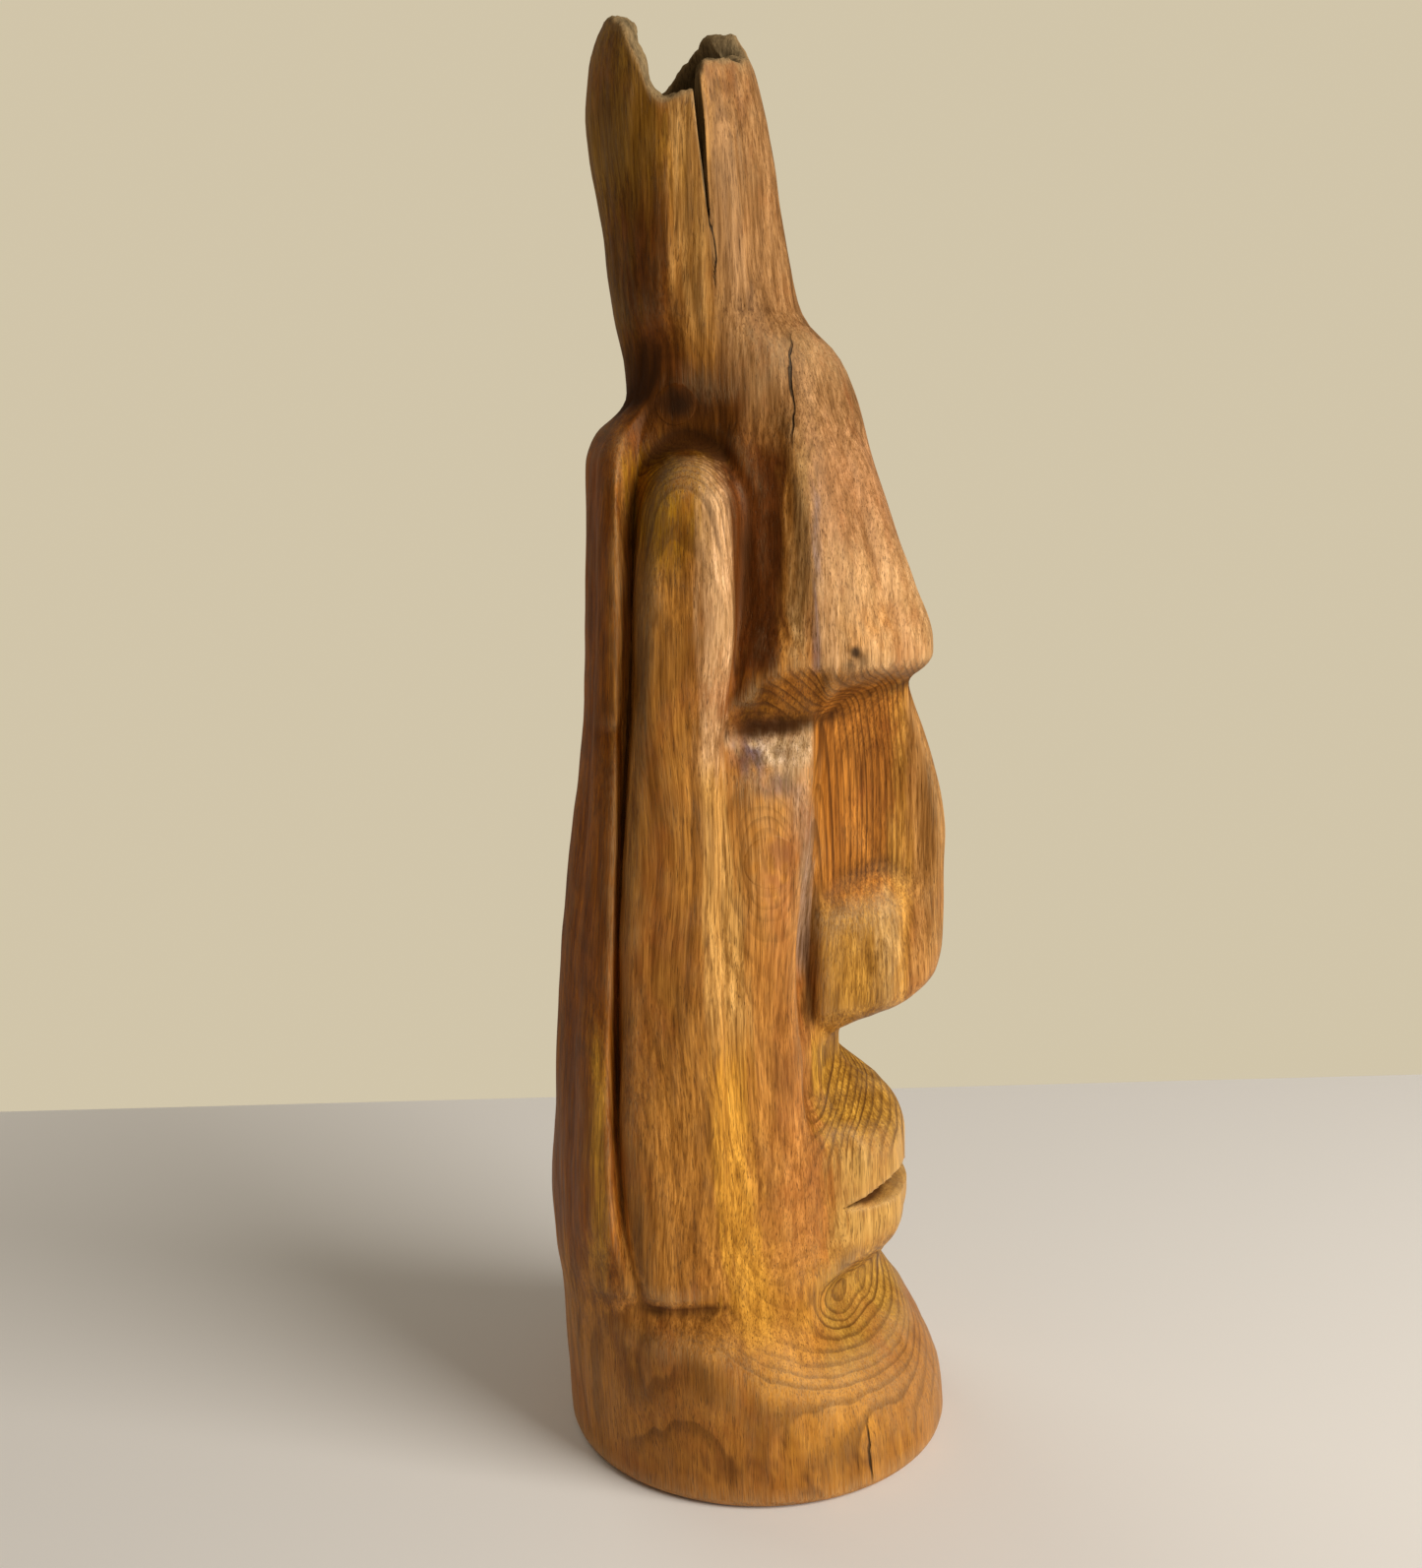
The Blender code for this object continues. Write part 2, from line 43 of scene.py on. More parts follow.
# A smooth curve through knots (place, level, ...), read at every value: cubic pieces whose slopes
# are the harmonic mean of their neighbours', so it never swings past a knot.
def along(knots, value, item=1):
    place = np.array([k[0] for k in knots], float)
    level = np.array([k[item] for k in knots], float)
    gaps = np.diff(place)
    slope = np.diff(level) / gaps
    bend = np.zeros_like(level)
    same = slope[:-1] * slope[1:] > 0
    before, after = np.where(same, slope[:-1], 1.0), np.where(same, slope[1:], 1.0)
    bend[1:-1] = np.where(same, 2 * before * after / (before + after), 0.0)
    bend[0], bend[-1] = slope[0], slope[-1]
    value = np.clip(value, place[0], place[-1])
    i = np.clip(np.searchsorted(place, value) - 1, 0, len(gaps) - 1)
    t = (value - place[i]) / gaps[i]
    return ((1 + 2 * t) * (1 - t) ** 2 * level[i] + t * (1 - t) ** 2 * gaps[i] * bend[i]
            + t * t * (3 - 2 * t) * level[i + 1] - t * t * (1 - t) * gaps[i] * bend[i + 1])


# Rises from 0 at low to 1 at high along a cubic.
def ease(value, low, high):
    t = np.clip((value - low) / (high - low), 0.0, 1.0)
    return t * t * (3 - 2 * t)


# A round bump, 1 at the middle: e to the minus square of the distance over the spread.
def bump(value, middle, spread):
    return np.exp(-((value - middle) / spread) ** 2)


# Even unevenness: the sum of sine waves about size long in random directions, mostly within -1..1.
def ripple(points, size, seed, stretch=(1, 1, 1)):
    chance = np.random.default_rng(seed)
    waves = 28
    heading = chance.normal(size=(waves, 3))
    heading /= np.linalg.norm(heading, axis=1)[:, None]
    heading *= (2 * np.pi / size * chance.uniform(0.6, 1.7, waves))[:, None] / np.array(stretch)
    turns = points @ heading.T + chance.uniform(0, 2 * np.pi, waves)
    return np.sin(turns).sum(-1) / math.sqrt(waves)


carving = {
    "shift": -1.5,
    "bottomRound": 3.0,
    # heights between which the log turns into the head, before and behind the cheek, then the
    # columns between which those two change over, then the heights up to the round crown
    "logToHead": (24, 46), "logToEar": (43, 61), "cheekColumns": (2.5, 4), "headToCrown": (288, 318),
    "top": 400,
    "frontLine": [
        (0, -57.3), (12, -56.3), (22.6, -52.8), (33, -47.2), (39, -44), (44, -40.1), (49.5, -36.4),
        (54, -38), (59.6, -42.7), (64.8, -44.6), (70, -45.5), (75, -45.2), (80, -44.4),
        (85, -44.4), (90, -44.4), (95, -43.3), (100, -40.2), (105, -34.2), (110, -26.6),
        (115, -23.8), (120, -23.6), (124, -25), (128.5, -37), (132, -45), (136, -50.3),
        (140, -53), (147, -54.8), (163, -55.3), (178, -55.2), (191, -53.4), (201, -50.9),
        (211, -48.2), (219, -45.5), (224, -44.2), (228, -46.8), (232.5, -50.4), (237, -50.3),
        (250, -45.8), (268, -39.1), (286, -33.4), (303, -28.8), (311, -25.6), (316, -22.6),
        (320, -18.7), (325, -14.1), (333, -11.8), (349, -8.6), (366, -6.4), (382, -2.7), (390, 0),
        (396, 3), (402, 6)],
    "backLine": [
        (0, 57), (20, 57.8), (38, 58.6), (60, 59.8), (75, 60.3), (105, 58.6), (130, 57.8),
        (145, 56.6), (163, 54), (182, 52), (200, 49), (219, 46.9), (240, 46.2), (277, 45.7),
        (286, 45.7), (291, 44.4), (295, 42), (299, 37.2), (304, 34.7), (311, 35.3), (325, 37.8),
        (349, 40.7), (366, 43.6), (376, 44.2), (390, 43.3), (396, 41.6), (402, 38.5)],
    "sideLine": [
        (0, 58.5), (25, 58.3), (45, 56.2), (60, 52.5), (288, 33), (300, 30.5), (318, 28.5),
        (340, 27.5), (365, 26.5), (385, 24.5), (402, 21)],
    # guide lines up the head, front to back: height, y, half width
    "guides": [
        [(34, -46, 10), (50, -36, 10), (60, -41, 10), (70, -43.8, 10), (90, -42.6, 10),
         (105, -33.4, 10), (115, -23.4, 10), (121, -23.2, 10), (124, -24.5, 10),
         (128.5, -36, 10.5), (132, -43.6, 10.5), (136, -48.6, 10.5), (140, -51.2, 10),
         (150, -53.2, 9), (178, -53.4, 8), (201, -49.3, 8), (219, -44.2, 8), (224, -43, 9),
         (232.5, -49.2, 12), (237, -49, 12), (250, -44.4, 12), (268, -37.8, 11), (286, -32.2, 10),
         (318, -19, 8)],
        [(34, -35.5, 31), (40, -31, 28), (46, -27.8, 25.4), (52, -27, 24.6), (57, -29, 26.2),
         (61, -31.3, 27.8), (70, -31, 28.5), (80, -30, 28.5), (90, -30, 28.5), (97, -27.5, 28),
         (102, -23.5, 25.5), (108, -20.5, 23.5), (115, -18.8, 22.2), (126, -17.5, 21),
         (132, -16, 21), (150, -14.5, 20.5), (165, -17, 19.5), (185, -20, 18.5), (205, -20, 18),
         (216, -20, 18.5), (222, -24, 21), (228, -35, 26), (233, -39, 27.5), (250, -34.5, 26),
         (268, -29, 25), (286, -24, 23), (318, -10, 20)],
        [(34, -17, 49.5), (46, -15.5, 44.5), (52, -15, 43), (60, -15, 42.3), (75, -17, 37.5),
         (88, -16.5, 35.5), (103, -13.5, 34.5), (118, -12.5, 34),
         (135, -11, 34), (150, -10.5, 34.5), (170, -12, 35.5), (190, -14, 36.5),
         (205, -15, 37.3), (217, -15, 38.4), (224, -15.5, 39.4), (233, -16, 40.8),
         (250, -15, 40.5), (271, -13, 38), (288, -10, 34), (318, -6, 24)],
        [(34, 9, 54), (60, 9, 50), (75, 9, 47.5), (107, 9, 44.5), (150, 9.5, 42), (200, 9, 40),
         (217, 8.5, 38.5), (232, 5.5, 37), (253, 4, 36), (278, 4, 35), (290, 5, 32.5),
         (318, 6, 28)],
        [(34, 12, 54), (60, 12, 50), (107, 12, 44.5), (150, 12.5, 42), (217, 11.5, 38.5),
         (232, 8.5, 37), (253, 7, 36), (278, 7, 34.5), (290, 8, 31.5), (318, 8, 28)],
        [(34, 33, 49), (60, 33.5, 46.5), (79, 36, 45), (108, 37.5, 42), (149, 36.5, 39.5),
         (190, 34.5, 37.5), (229, 32, 35), (254, 31, 33.5), (275, 30, 31.5), (290, 29, 28),
         (318, 25, 24)],
        [(34, 35, 48), (60, 35.5, 47), (70, 37, 45.5), (79, 38, 43.5), (108, 39, 39.5),
         (149, 38.2, 36.5), (190, 36, 34), (229, 33.8, 31.5), (254, 33, 30), (275, 32, 28.5),
         (290, 31, 26.5), (318, 28, 23)],
        [(34, 38, 46), (60, 38, 47), (79, 41, 47), (108, 41.5, 45.5), (149, 40.2, 43),
         (190, 38.4, 41), (229, 37, 39), (254, 36.6, 38), (280, 36.4, 35.5), (290, 35.6, 31),
         (299, 33, 26), (318, 31, 21)],
        [(34, 52, 30), (60, 53, 30), (79, 53.5, 30), (108, 52.5, 30), (149, 50.5, 28.5),
         (190, 46.8, 27.5), (229, 43.8, 27), (254, 43, 26), (286, 42.5, 24), (295, 39.5, 20),
         (304, 33.5, 16), (318, 34, 12)]],
    # how far each facet between two guides bows out: height, bow
    "bows": [
        [(34, 0.6), (232, 1.0), (318, 0.6)],
        [(34, 2), (44, 0), (50, -0.6), (58, 1), (66, 3.2), (88, 3.4), (104, 1), (118, -0.8),
         (130, 1), (146, 1), (160, 0), (172, -3.8), (190, -4.4), (205, -3.6), (222, 0),
         (234, 3), (268, 2.6), (318, 1)],
        [(34, 2), (42, 0.4), (50, -1), (60, 0), (70, -1.6), (96, -1.8), (110, -2.6), (122, -1.6),
         (150, -2.5), (190, -1.2), (215, -0.5), (234, 3.6), (268, 3), (318, 1)],
        [(34, 1), (60, 0.4), (100, 0.8), (180, 1.2), (212, 0.8), (224, 1.6), (234, 0.8),
         (248, -2.2), (266, -3), (318, 0)],
        [(34, 0.2), (318, 0.2)],
        [(34, 1), (60, 1.5), (280, 1.5), (318, 1)],
        [(34, 0), (318, 0)],
        [(34, 0), (318, 0)],
        [(34, 1), (60, 2), (160, 2), (286, 1.2), (318, 0.5)],
        [(34, 2), (60, 3), (160, 2.5), (286, 1.6), (318, 1)]],
    # degrees from the middle of the face at which the guides stand on the round sections
    "logAngles": [0, 11, 38, 70, 97, 101, 125, 128, 132, 152, 180],
    "crownAngles": [0, 14, 37, 58, 73, 87, 117, 124, 131, 156, 180],
    "earFront": [(58, 9), (107, 9), (150, 10), (190, 10), (218, 9), (244, 6), (264, 5), (276, 4.5)],
    "earRear": [(58, 33), (79, 37), (108, 38.6), (149, 38), (190, 36), (229, 33.2), (276, 31)],
    "earFace": [(58, 52), (75, 50.2), (107, 48.6), (150, 47), (200, 46.2), (244, 46), (276, 45),
                (290, 43)],
    # round top, foot, how far the face bows out, and width of the rounded edge low and high up
    "earDome": (271.0, 17.5), "earFoot": 58.0, "earCrown": 2.2,
    "earEdge": (4.5, 9.0), "earEdgeGrows": (240, 271),
    "recess": {"y": 19.0, "z": 295.5, "length": 15.0, "tall": 8.5, "depth": 5.5},
    "browEdge": [(-16, 233.5), (-12, 233), (-3, 230), (2, 225), (8, 221), (11, 217.5)],
    "socketEdge": [(-17, 221), (-14, 218), (-4, 215.5), (10, 214.5)],
    # its depth, how far down it runs out, its curve, where it starts and where it grows shallow
    "socketDepth": 6.2, "socketRun": 13.0, "wedgeCurve": 0.8,
    "socketFront": (-20, -15), "socketBack": (1, 11), "socketShallow": 0.8,
    # mouth: distance from the middle, height of its line, half opening, depth
    "mouth": [(0, 77.2, 2.8, 9.0), (10, 78.2, 3.3, 9.0), (18, 79.0, 3.3, 7.6), (24, 78.4, 2.7, 5.2),
              (28, 77.2, 1.6, 2.6), (31, 76.2, 0.5, 0.0)],
    "mouthAxis": -8.0, "mouthBack": -20,
    # top edge of the nose's wing: y, height; how far it stands out, its edge's softness, its foot
    # and the y of its ends
    "wingTop": [(-47, 150), (-42, 164), (-36, 168.5), (-27, 166), (-20, 164), (-15, 162)],
    "wingOut": 4.2, "wingEdge": (-4, 7), "wingFoot": (124, 134), "wingFront": (-48, -38),
    "wingBack": (-19, -14.5),
    # scoops beside the upper lip and under the lower one: half width and height, spreads, depth
    "scoops": [(25, 109, 8, 9, 1.8), (27, 50, 9, 9, 1.2)], "scoopAxis": 4, "scoopBack": (-16, -6),
    "moat": {"away": -2.4, "spread": 2.4, "depth": 2.4, "heights": (222, 260), "back": 34},
    # broken rim: degrees from the face, positive on the figure's right, and height
    "rim": [
        (-180, 399), (-150, 397.5), (-138, 393), (-124, 386), (-108, 384.5), (-92, 389),
        (-75, 393), (-58, 396), (-40, 397.5), (-20, 398), (-6, 396.5), (10, 391), (24, 388.5),
        (40, 387), (58, 386.5), (70, 385.5), (76, 382), (87, 377.5), (100, 376.5), (107, 378),
        (114, 386), (122, 393), (134, 397.5), (155, 399), (180, 399)],
    "rimCrest": 2.0, "wall": 7.5, "hollowFloor": 346.0, "hollowTaper": 3.0,
    "rimRipple": {"size": 22, "depth": 0.5},
    # the drying crack: angle, foot, half width there and at the rim; then how far it leans
    # forwards, between which heights, round which column and how far round
    "crackAngle": 80.0, "crackFoot": 348.0, "crackHalf": (1.1, 3.4),
    "crackLean": 5.0, "crackRise": (345, 385), "crackColumn": (4.5, 1.2),
    "facetColumns": [9, 32, 24, 21, 16, 25, 8, 9, 18, 18],
    # rows a millimetre, by height
    "rowDensity": [
        (0, 0.9), (6, 0.45), (40, 0.4), (48, 0.7), (62, 0.7), (70, 1.5), (84, 1.5), (90, 0.8),
        (118, 0.8), (124, 1.4), (140, 1.2), (148, 0.42), (208, 0.42), (214, 1.0), (238, 1.0),
        (244, 0.4), (266, 0.5), (272, 1.0), (300, 0.9), (308, 0.35), (370, 0.32), (400, 0.5)],
    "rows": 236, "rimSteps": 8, "hollowSteps": 14, "firstRow": 0.15, "footInset": 0.97,
    # times the edges are worn round, below the crown and above the foot
    "soften": 4, "softenBelow": (292, 310), "softenAbove": (2, 12)}


# A facet between two guides: the chord from one to the next, plus its bow times 4t(1-t) outwards.
def headSection(column, z):
    places = [(along(carving["frontLine"], z), 0 * z)]
    places += [(along(g, z), along(g, z, 2)) for g in carving["guides"]]
    places += [(along(carving["backLine"], z), 0 * z)]
    facet = np.minimum(column.astype(int), len(places) - 2)
    t = column - facet
    y, x = 0 * z, 0 * z
    for k, bowLine in enumerate(carving["bows"]):
        here = facet == k
        (y0, x0), (y1, x1) = places[k], places[k + 1]
        length = np.hypot(y1 - y0, x1 - x0) + 1e-9
        bow = along(bowLine, z) * 4 * t * (1 - t)
        y = np.where(here, y0 + (y1 - y0) * t - bow * (x1 - x0) / length, y)
        x = np.where(here, x0 + (x1 - x0) * t + bow * (y1 - y0) / length, x)
    return y, x


# An oval through the middle lines: y is the middle less the half length times the cosine of the
# angle, less its lean, and half width is the side line times its sine.
def roundSection(column, z, angles, lean):
    front, back = along(carving["frontLine"], z), along(carving["backLine"], z)
    angle = np.interp(column, np.arange(len(angles)), angles) - lean
    turn = np.radians(angle)
    return ((front + back) / 2 - (back - front) / 2 * np.cos(turn),
            along(carving["sideLine"], z) * np.sin(turn))


# How far inside the ear's outline a place is: half its width times one less the distance from
# its middle line, measured in half widths, with a round top.
def earInside(y, z):
    low, high = along(carving["earFront"], z), along(carving["earRear"], z)
    middle, half = (low + high) / 2, (high - low) / 2
    start, tall = carving["earDome"]
    dome = np.maximum(z - start, 0) / tall
    return half * (1 - np.hypot((y - middle) / half, dome)), (y - middle) / half


# The ear stands out to its face with an elliptic edge.
def addEar(y, x, z):
    inside, across = earInside(y, z)
    thin, thick = carving["earEdge"]
    width = thin + (thick - thin) * ease(z, *carving["earEdgeGrows"])
    edge = np.clip(inside / width, 0, 1) * ease(z, carving["earFoot"] - 1, carving["earFoot"] + 3)
    face = along(carving["earFace"], z) - carving["earCrown"] * across ** 2
    return x + np.sqrt(1 - (1 - edge) ** 2) * np.maximum(face - x, 0)


# The slanting brow is undercut: the cut deepens evenly from the brow's edge down to the socket's,
# and below that comes back out as evenly.
def cutSocket(y, x, z):
    edge, low = along(carving["browEdge"], y), along(carving["socketEdge"], y)
    inward = np.clip((edge - z) / (edge - low), 0, 1) ** carving["wedgeCurve"]
    outward = 1 - np.clip((low - z) / carving["socketRun"], 0, 1)
    reach = 1 - carving["socketShallow"] * ease(y, *carving["socketBack"])
    reach = ease(y, *carving["socketFront"]) * reach
    return x - carving["socketDepth"] * inward * outward * reach


# The mouth is a wedge cut back towards the log's middle, shallower towards its corners.
def cutMouth(y, x, z):
    line, half, depth = (along(carving["mouth"], x, k) for k in (1, 2, 3))
    bite = depth * np.clip(1 - np.abs(z - line) / half, 0, 1) ** carving["wedgeCurve"]
    bite = bite * (y < carving["mouthBack"])
    away = y - carving["mouthAxis"]
    reach = np.hypot(x, away) + 1e-9
    return y - bite * away / reach, x - bite * x / reach


# The wing of the nose swells below its top edge, between the crease and the nose's ridge; a narrow
# moat lies round the upper ear, and a bowl over it.
def shapeSides(y, x, z):
    wing = ease(along(carving["wingTop"], y) - z, *carving["wingEdge"]) * ease(z, *carving["wingFoot"])
    wing = wing * ease(y, *carving["wingFront"]) * (1 - ease(y, *carving["wingBack"]))
    moat, hole = carving["moat"], carving["recess"]
    ditch = bump(earInside(y, z)[0], moat["away"], moat["spread"])
    ditch = ditch * ease(z, *moat["heights"]) * (y < moat["back"])
    x = x + carving["wingOut"] * wing - moat["depth"] * ditch
    return x - hole["depth"] * bump(y, hole["y"], hole["length"]) * bump(z, hole["z"], hole["tall"])


# Each scoop draws the face in towards a line up the middle by a round bump.
def scoop(y, x, z):
    for wide, high, across, tall, depth in carving["scoops"]:
        inward = depth * bump(x, wide, across) * bump(z, high, tall)
        inward = inward * (1 - ease(y, *carving["scoopBack"]))
        away = y - carving["scoopAxis"]
        reach = np.hypot(x, away) + 1e-9
        y, x = y - inward * away / reach, x - inward * x / reach
    return y, x


# The outer surface: the head's facets, melting into the round log below and the crown above.
def logSurface(column, z):
    y, x = headSection(column, z)
    lean = carving["crackLean"] * ease(z, *carving["crackRise"]) * bump(column, *carving["crackColumn"])
    logY, logX = roundSection(column, z, carving["logAngles"], 0)
    crownY, crownX = roundSection(column, z, carving["crownAngles"], lean)
    behind = ease(column, *carving["cheekColumns"])
    ends = [a + (b - a) * behind for a, b in zip(carving["logToHead"], carving["logToEar"])]
    low, high = 1 - ease(z, *ends), ease(z, *carving["headToCrown"])
    y = y + (logY - y) * low + (crownY - y) * high
    x = x + (logX - x) * low + (crownX - x) * high
    y, x = scoop(y, x, z)
    return y, addEar(y, shapeSides(y, cutSocket(y, x, z), z), z)


# The rim's height, with the drying crack as a narrow slot whose sides rise steeply.
def rimHeight(angle):
    height = along(carving["rim"], angle)
    foot, (low, high) = carving["crackFoot"], carving["crackHalf"]
    slot = foot + (height - foot) * np.clip((np.abs(angle - carving["crackAngle"]) - low)
                                            / (high - low), 0, 1)
    return np.minimum(height, slot)


# Shrinks a ring towards its own middle by a distance, and puts it at heights z.
def innerRing(ring, shrink, z):
    middle = np.array([0.0, (ring[:, 1].min() + ring[:, 1].max()) / 2])
    arm = ring[:, :2] - middle
    arm = arm * (1 - shrink / np.hypot(arm[:, 0], arm[:, 1]))[:, None]
    return np.column_stack([middle + arm, z])


# Averages each row or column with its neighbours, a number of times.
def soften(points, times, axis, weight):
    for _ in range(times):
        if axis == 1:
            near = np.roll(points, 1, 1) + np.roll(points, -1, 1)
        else:
            near = np.concatenate([points[:1], points[:-1]]) + np.concatenate([points[1:], points[-1:]])
        points = points + weight * (near / 4 - points / 2)
    return points


# Outward normals of a grid: the cross product of its steps along rows and columns.
def gridNormals(points):
    across = np.roll(points, -1, 1) - np.roll(points, 1, 1)
    up = np.gradient(points, axis=0)
    normals = np.cross(up, across)
    return normals / (np.linalg.norm(normals, axis=2, keepdims=True) + 1e-12)


def logColumns():
    half = np.concatenate([k + np.arange(n) / n for k, n in enumerate(carving["facetColumns"])])
    column = np.concatenate([half, [len(carving["facetColumns"])], half[:0:-1]])
    side = np.concatenate([-np.ones(len(half) + 1), np.ones(len(half) - 1)])
    return column, side


# The grid's rows run from the underside's edge up the outside, over the broken rim and down into
# the hollow, and its columns run round from the face over the figure's right, back and left.
def makeLogGrid():
    column, side = logColumns()
    angles = carving["crownAngles"]
    angle = -side * np.interp(column, np.arange(len(angles)), angles)
    broken, top = carving["rimRipple"], carving["top"]
    rim = rimHeight(angle) + broken["depth"] * ripple(
        np.column_stack([angle, 0 * angle, 0 * angle]), broken["size"], 3)
    places = np.linspace(0, top, 2001)
    rowsTo = np.cumsum(np.interp(places, *zip(*carving["rowDensity"])))
    share = (rowsTo - rowsTo[0]) / (rowsTo[-1] - rowsTo[0])
    levels = np.interp(np.linspace(0, 1, carving["rows"]), share, places)
    levels[0] = carving["firstRow"]
    start = carving["headToCrown"][1]
    stretch = np.clip((levels - start) / (top - start), 0, 1)
    z = levels[:, None] + (rim - top)[None] * stretch[:, None]
    y, x = logSurface(np.broadcast_to(column, z.shape), z)
    outer = np.stack([side * x, y, z], 2)
    calm = (1 - ease(z, *carving["softenBelow"]))[..., None]
    outer[..., :2] = soften(outer, carving["soften"], 1, calm)[..., :2]
    outer = soften(outer, 1, 0, calm * ease(z, *carving["softenAbove"])[..., None])
    cutY, cutX = cutMouth(outer[..., 1], np.abs(outer[..., 0]), outer[..., 2])
    outer[..., 1], outer[..., 0] = cutY, np.sign(outer[..., 0]) * cutX
    # worn edge round the underside
    low = np.clip(carving["bottomRound"] - z, 0, None)
    inset = carving["bottomRound"] - np.sqrt(carving["bottomRound"] ** 2 - low ** 2)
    outer[..., :2] *= (1 - inset / np.hypot(outer[..., 0], outer[..., 1]))[..., None]
    foot = outer[0].copy()
    foot[:, :2] *= carving["footInset"]
    foot[:, 2] = 0
    rows = [foot[None], outer]
    crest = carving["rimCrest"] * (rim > carving["crackFoot"] + carving["rimCrest"])
    for step in range(1, carving["rimSteps"] + 1):
        turn = math.pi * step / carving["rimSteps"]
        rows.append(innerRing(outer[-1], carving["wall"] * (1 - math.cos(turn)) / 2,
                              rim + crest * math.sin(turn))[None])
    for step in range(1, carving["hollowSteps"] + 1):
        t = step / carving["hollowSteps"]
        z = rim + (carving["hollowFloor"] - rim) * t
        y, x = logSurface(column, z)
        rows.append(innerRing(np.stack([side * x, y, z], 1),
                              carving["wall"] + carving["hollowTaper"] * t * t, z)[None])
    grid = np.concatenate(rows)
    grid[..., 1] += carving["shift"]
    return grid


# unevenness of the hand work: depth, size, stretch up the log
handWork = {
    "waves": [(0.30, 26, 1.8), (0.10, 8, 2.5)],
    "crownRidges": [(0.07, 3.2, 14), (0.22, 12, 6)],
    "hollow": [(0.5, 8, 4), (0.16, 2.6, 5)],
    "crownFrom": (292, 320), "footKept": (3, 9)}


# Waves all over, and on the crown long ridges along the grain, or in the hollow and over the broken
# rim its own roughness: each the sum of its ripples, along the normals.
def weather(grid):
    normals = gridNormals(grid)
    z = grid[..., 2]
    seed = 11
    total = {}
    for kind in ("waves", "crownRidges", "hollow"):
        total[kind] = 0
        for depth, size, stretch in handWork[kind]:
            total[kind] = total[kind] + depth * ripple(grid, size, seed, (1, 1, stretch))
            seed += 1
    push = total["waves"] + ease(z, *handWork["crownFrom"]) * total["crownRidges"]
    inside = np.arange(len(grid))[:, None] > carving["rows"] + 1 + 0 * z
    push = np.where(inside, total["hollow"], push) * ease(z, *handWork["footKept"])
    return grid + normals * push[..., None]


# Puts a closed grid of rows into a mesh, with a middle point under the first row and in the last.
def gridMesh(name, grid, firstPole, lastPole):
    rows, columns = grid.shape[:2]
    verts = np.concatenate([grid.reshape(-1, 3), [firstPole, lastPole]]) * mm
    r, c = np.meshgrid(np.arange(rows - 1), np.arange(columns), indexing="ij")
    d = (c + 1) % columns
    quads = np.stack([r * columns + c, (r + 1) * columns + c, (r + 1) * columns + d, r * columns + d], 2)
    ring, after = np.arange(columns), (np.arange(columns) + 1) % columns
    last = (rows - 1) * columns
    fanLow = np.stack([ring, after, np.full(columns, rows * columns)], 1)
    fanHigh = np.stack([last + after, last + ring, np.full(columns, rows * columns + 1)], 1)
    mesh = bpy.data.meshes.new(name)
    mesh.from_pydata(verts, [], quads.reshape(-1, 4).tolist() + fanLow.tolist() + fanHigh.tolist())
    mesh.shade_smooth()
    piece = bpy.data.objects.new(name, mesh)
    bpy.context.scene.collection.objects.link(piece)
    return piece


# Puts one number, or one colour, at each of a grid mesh's points.
def writeAttribute(piece, name, values):
    poles = [values[0].mean(0), values[-1].mean(0)]
    if values.ndim == 3:
        kind, field = "FLOAT_COLOR", "color"
        flat = np.concatenate([values.reshape(-1, 3), poles])
        flat = np.column_stack([flat, np.ones(len(flat))]).ravel()
    else:
        kind, field = "FLOAT", "value"
        flat = np.concatenate([values.ravel(), poles])
    piece.data.attributes.new(name, kind, "POINT").data.foreach_set(field, flat.astype(np.float32))


logGrid = weather(makeLogGrid())
hollowMiddle = (logGrid[-1, :, 1].min() + logGrid[-1, :, 1].max()) / 2
carvedLog = gridMesh("carvedLog", logGrid, [0, 0, 0],
                     [0, hollowMiddle, carving["hollowFloor"] - carving["hollowTaper"]])
print("carved log:", len(carvedLog.data.vertices), "points")

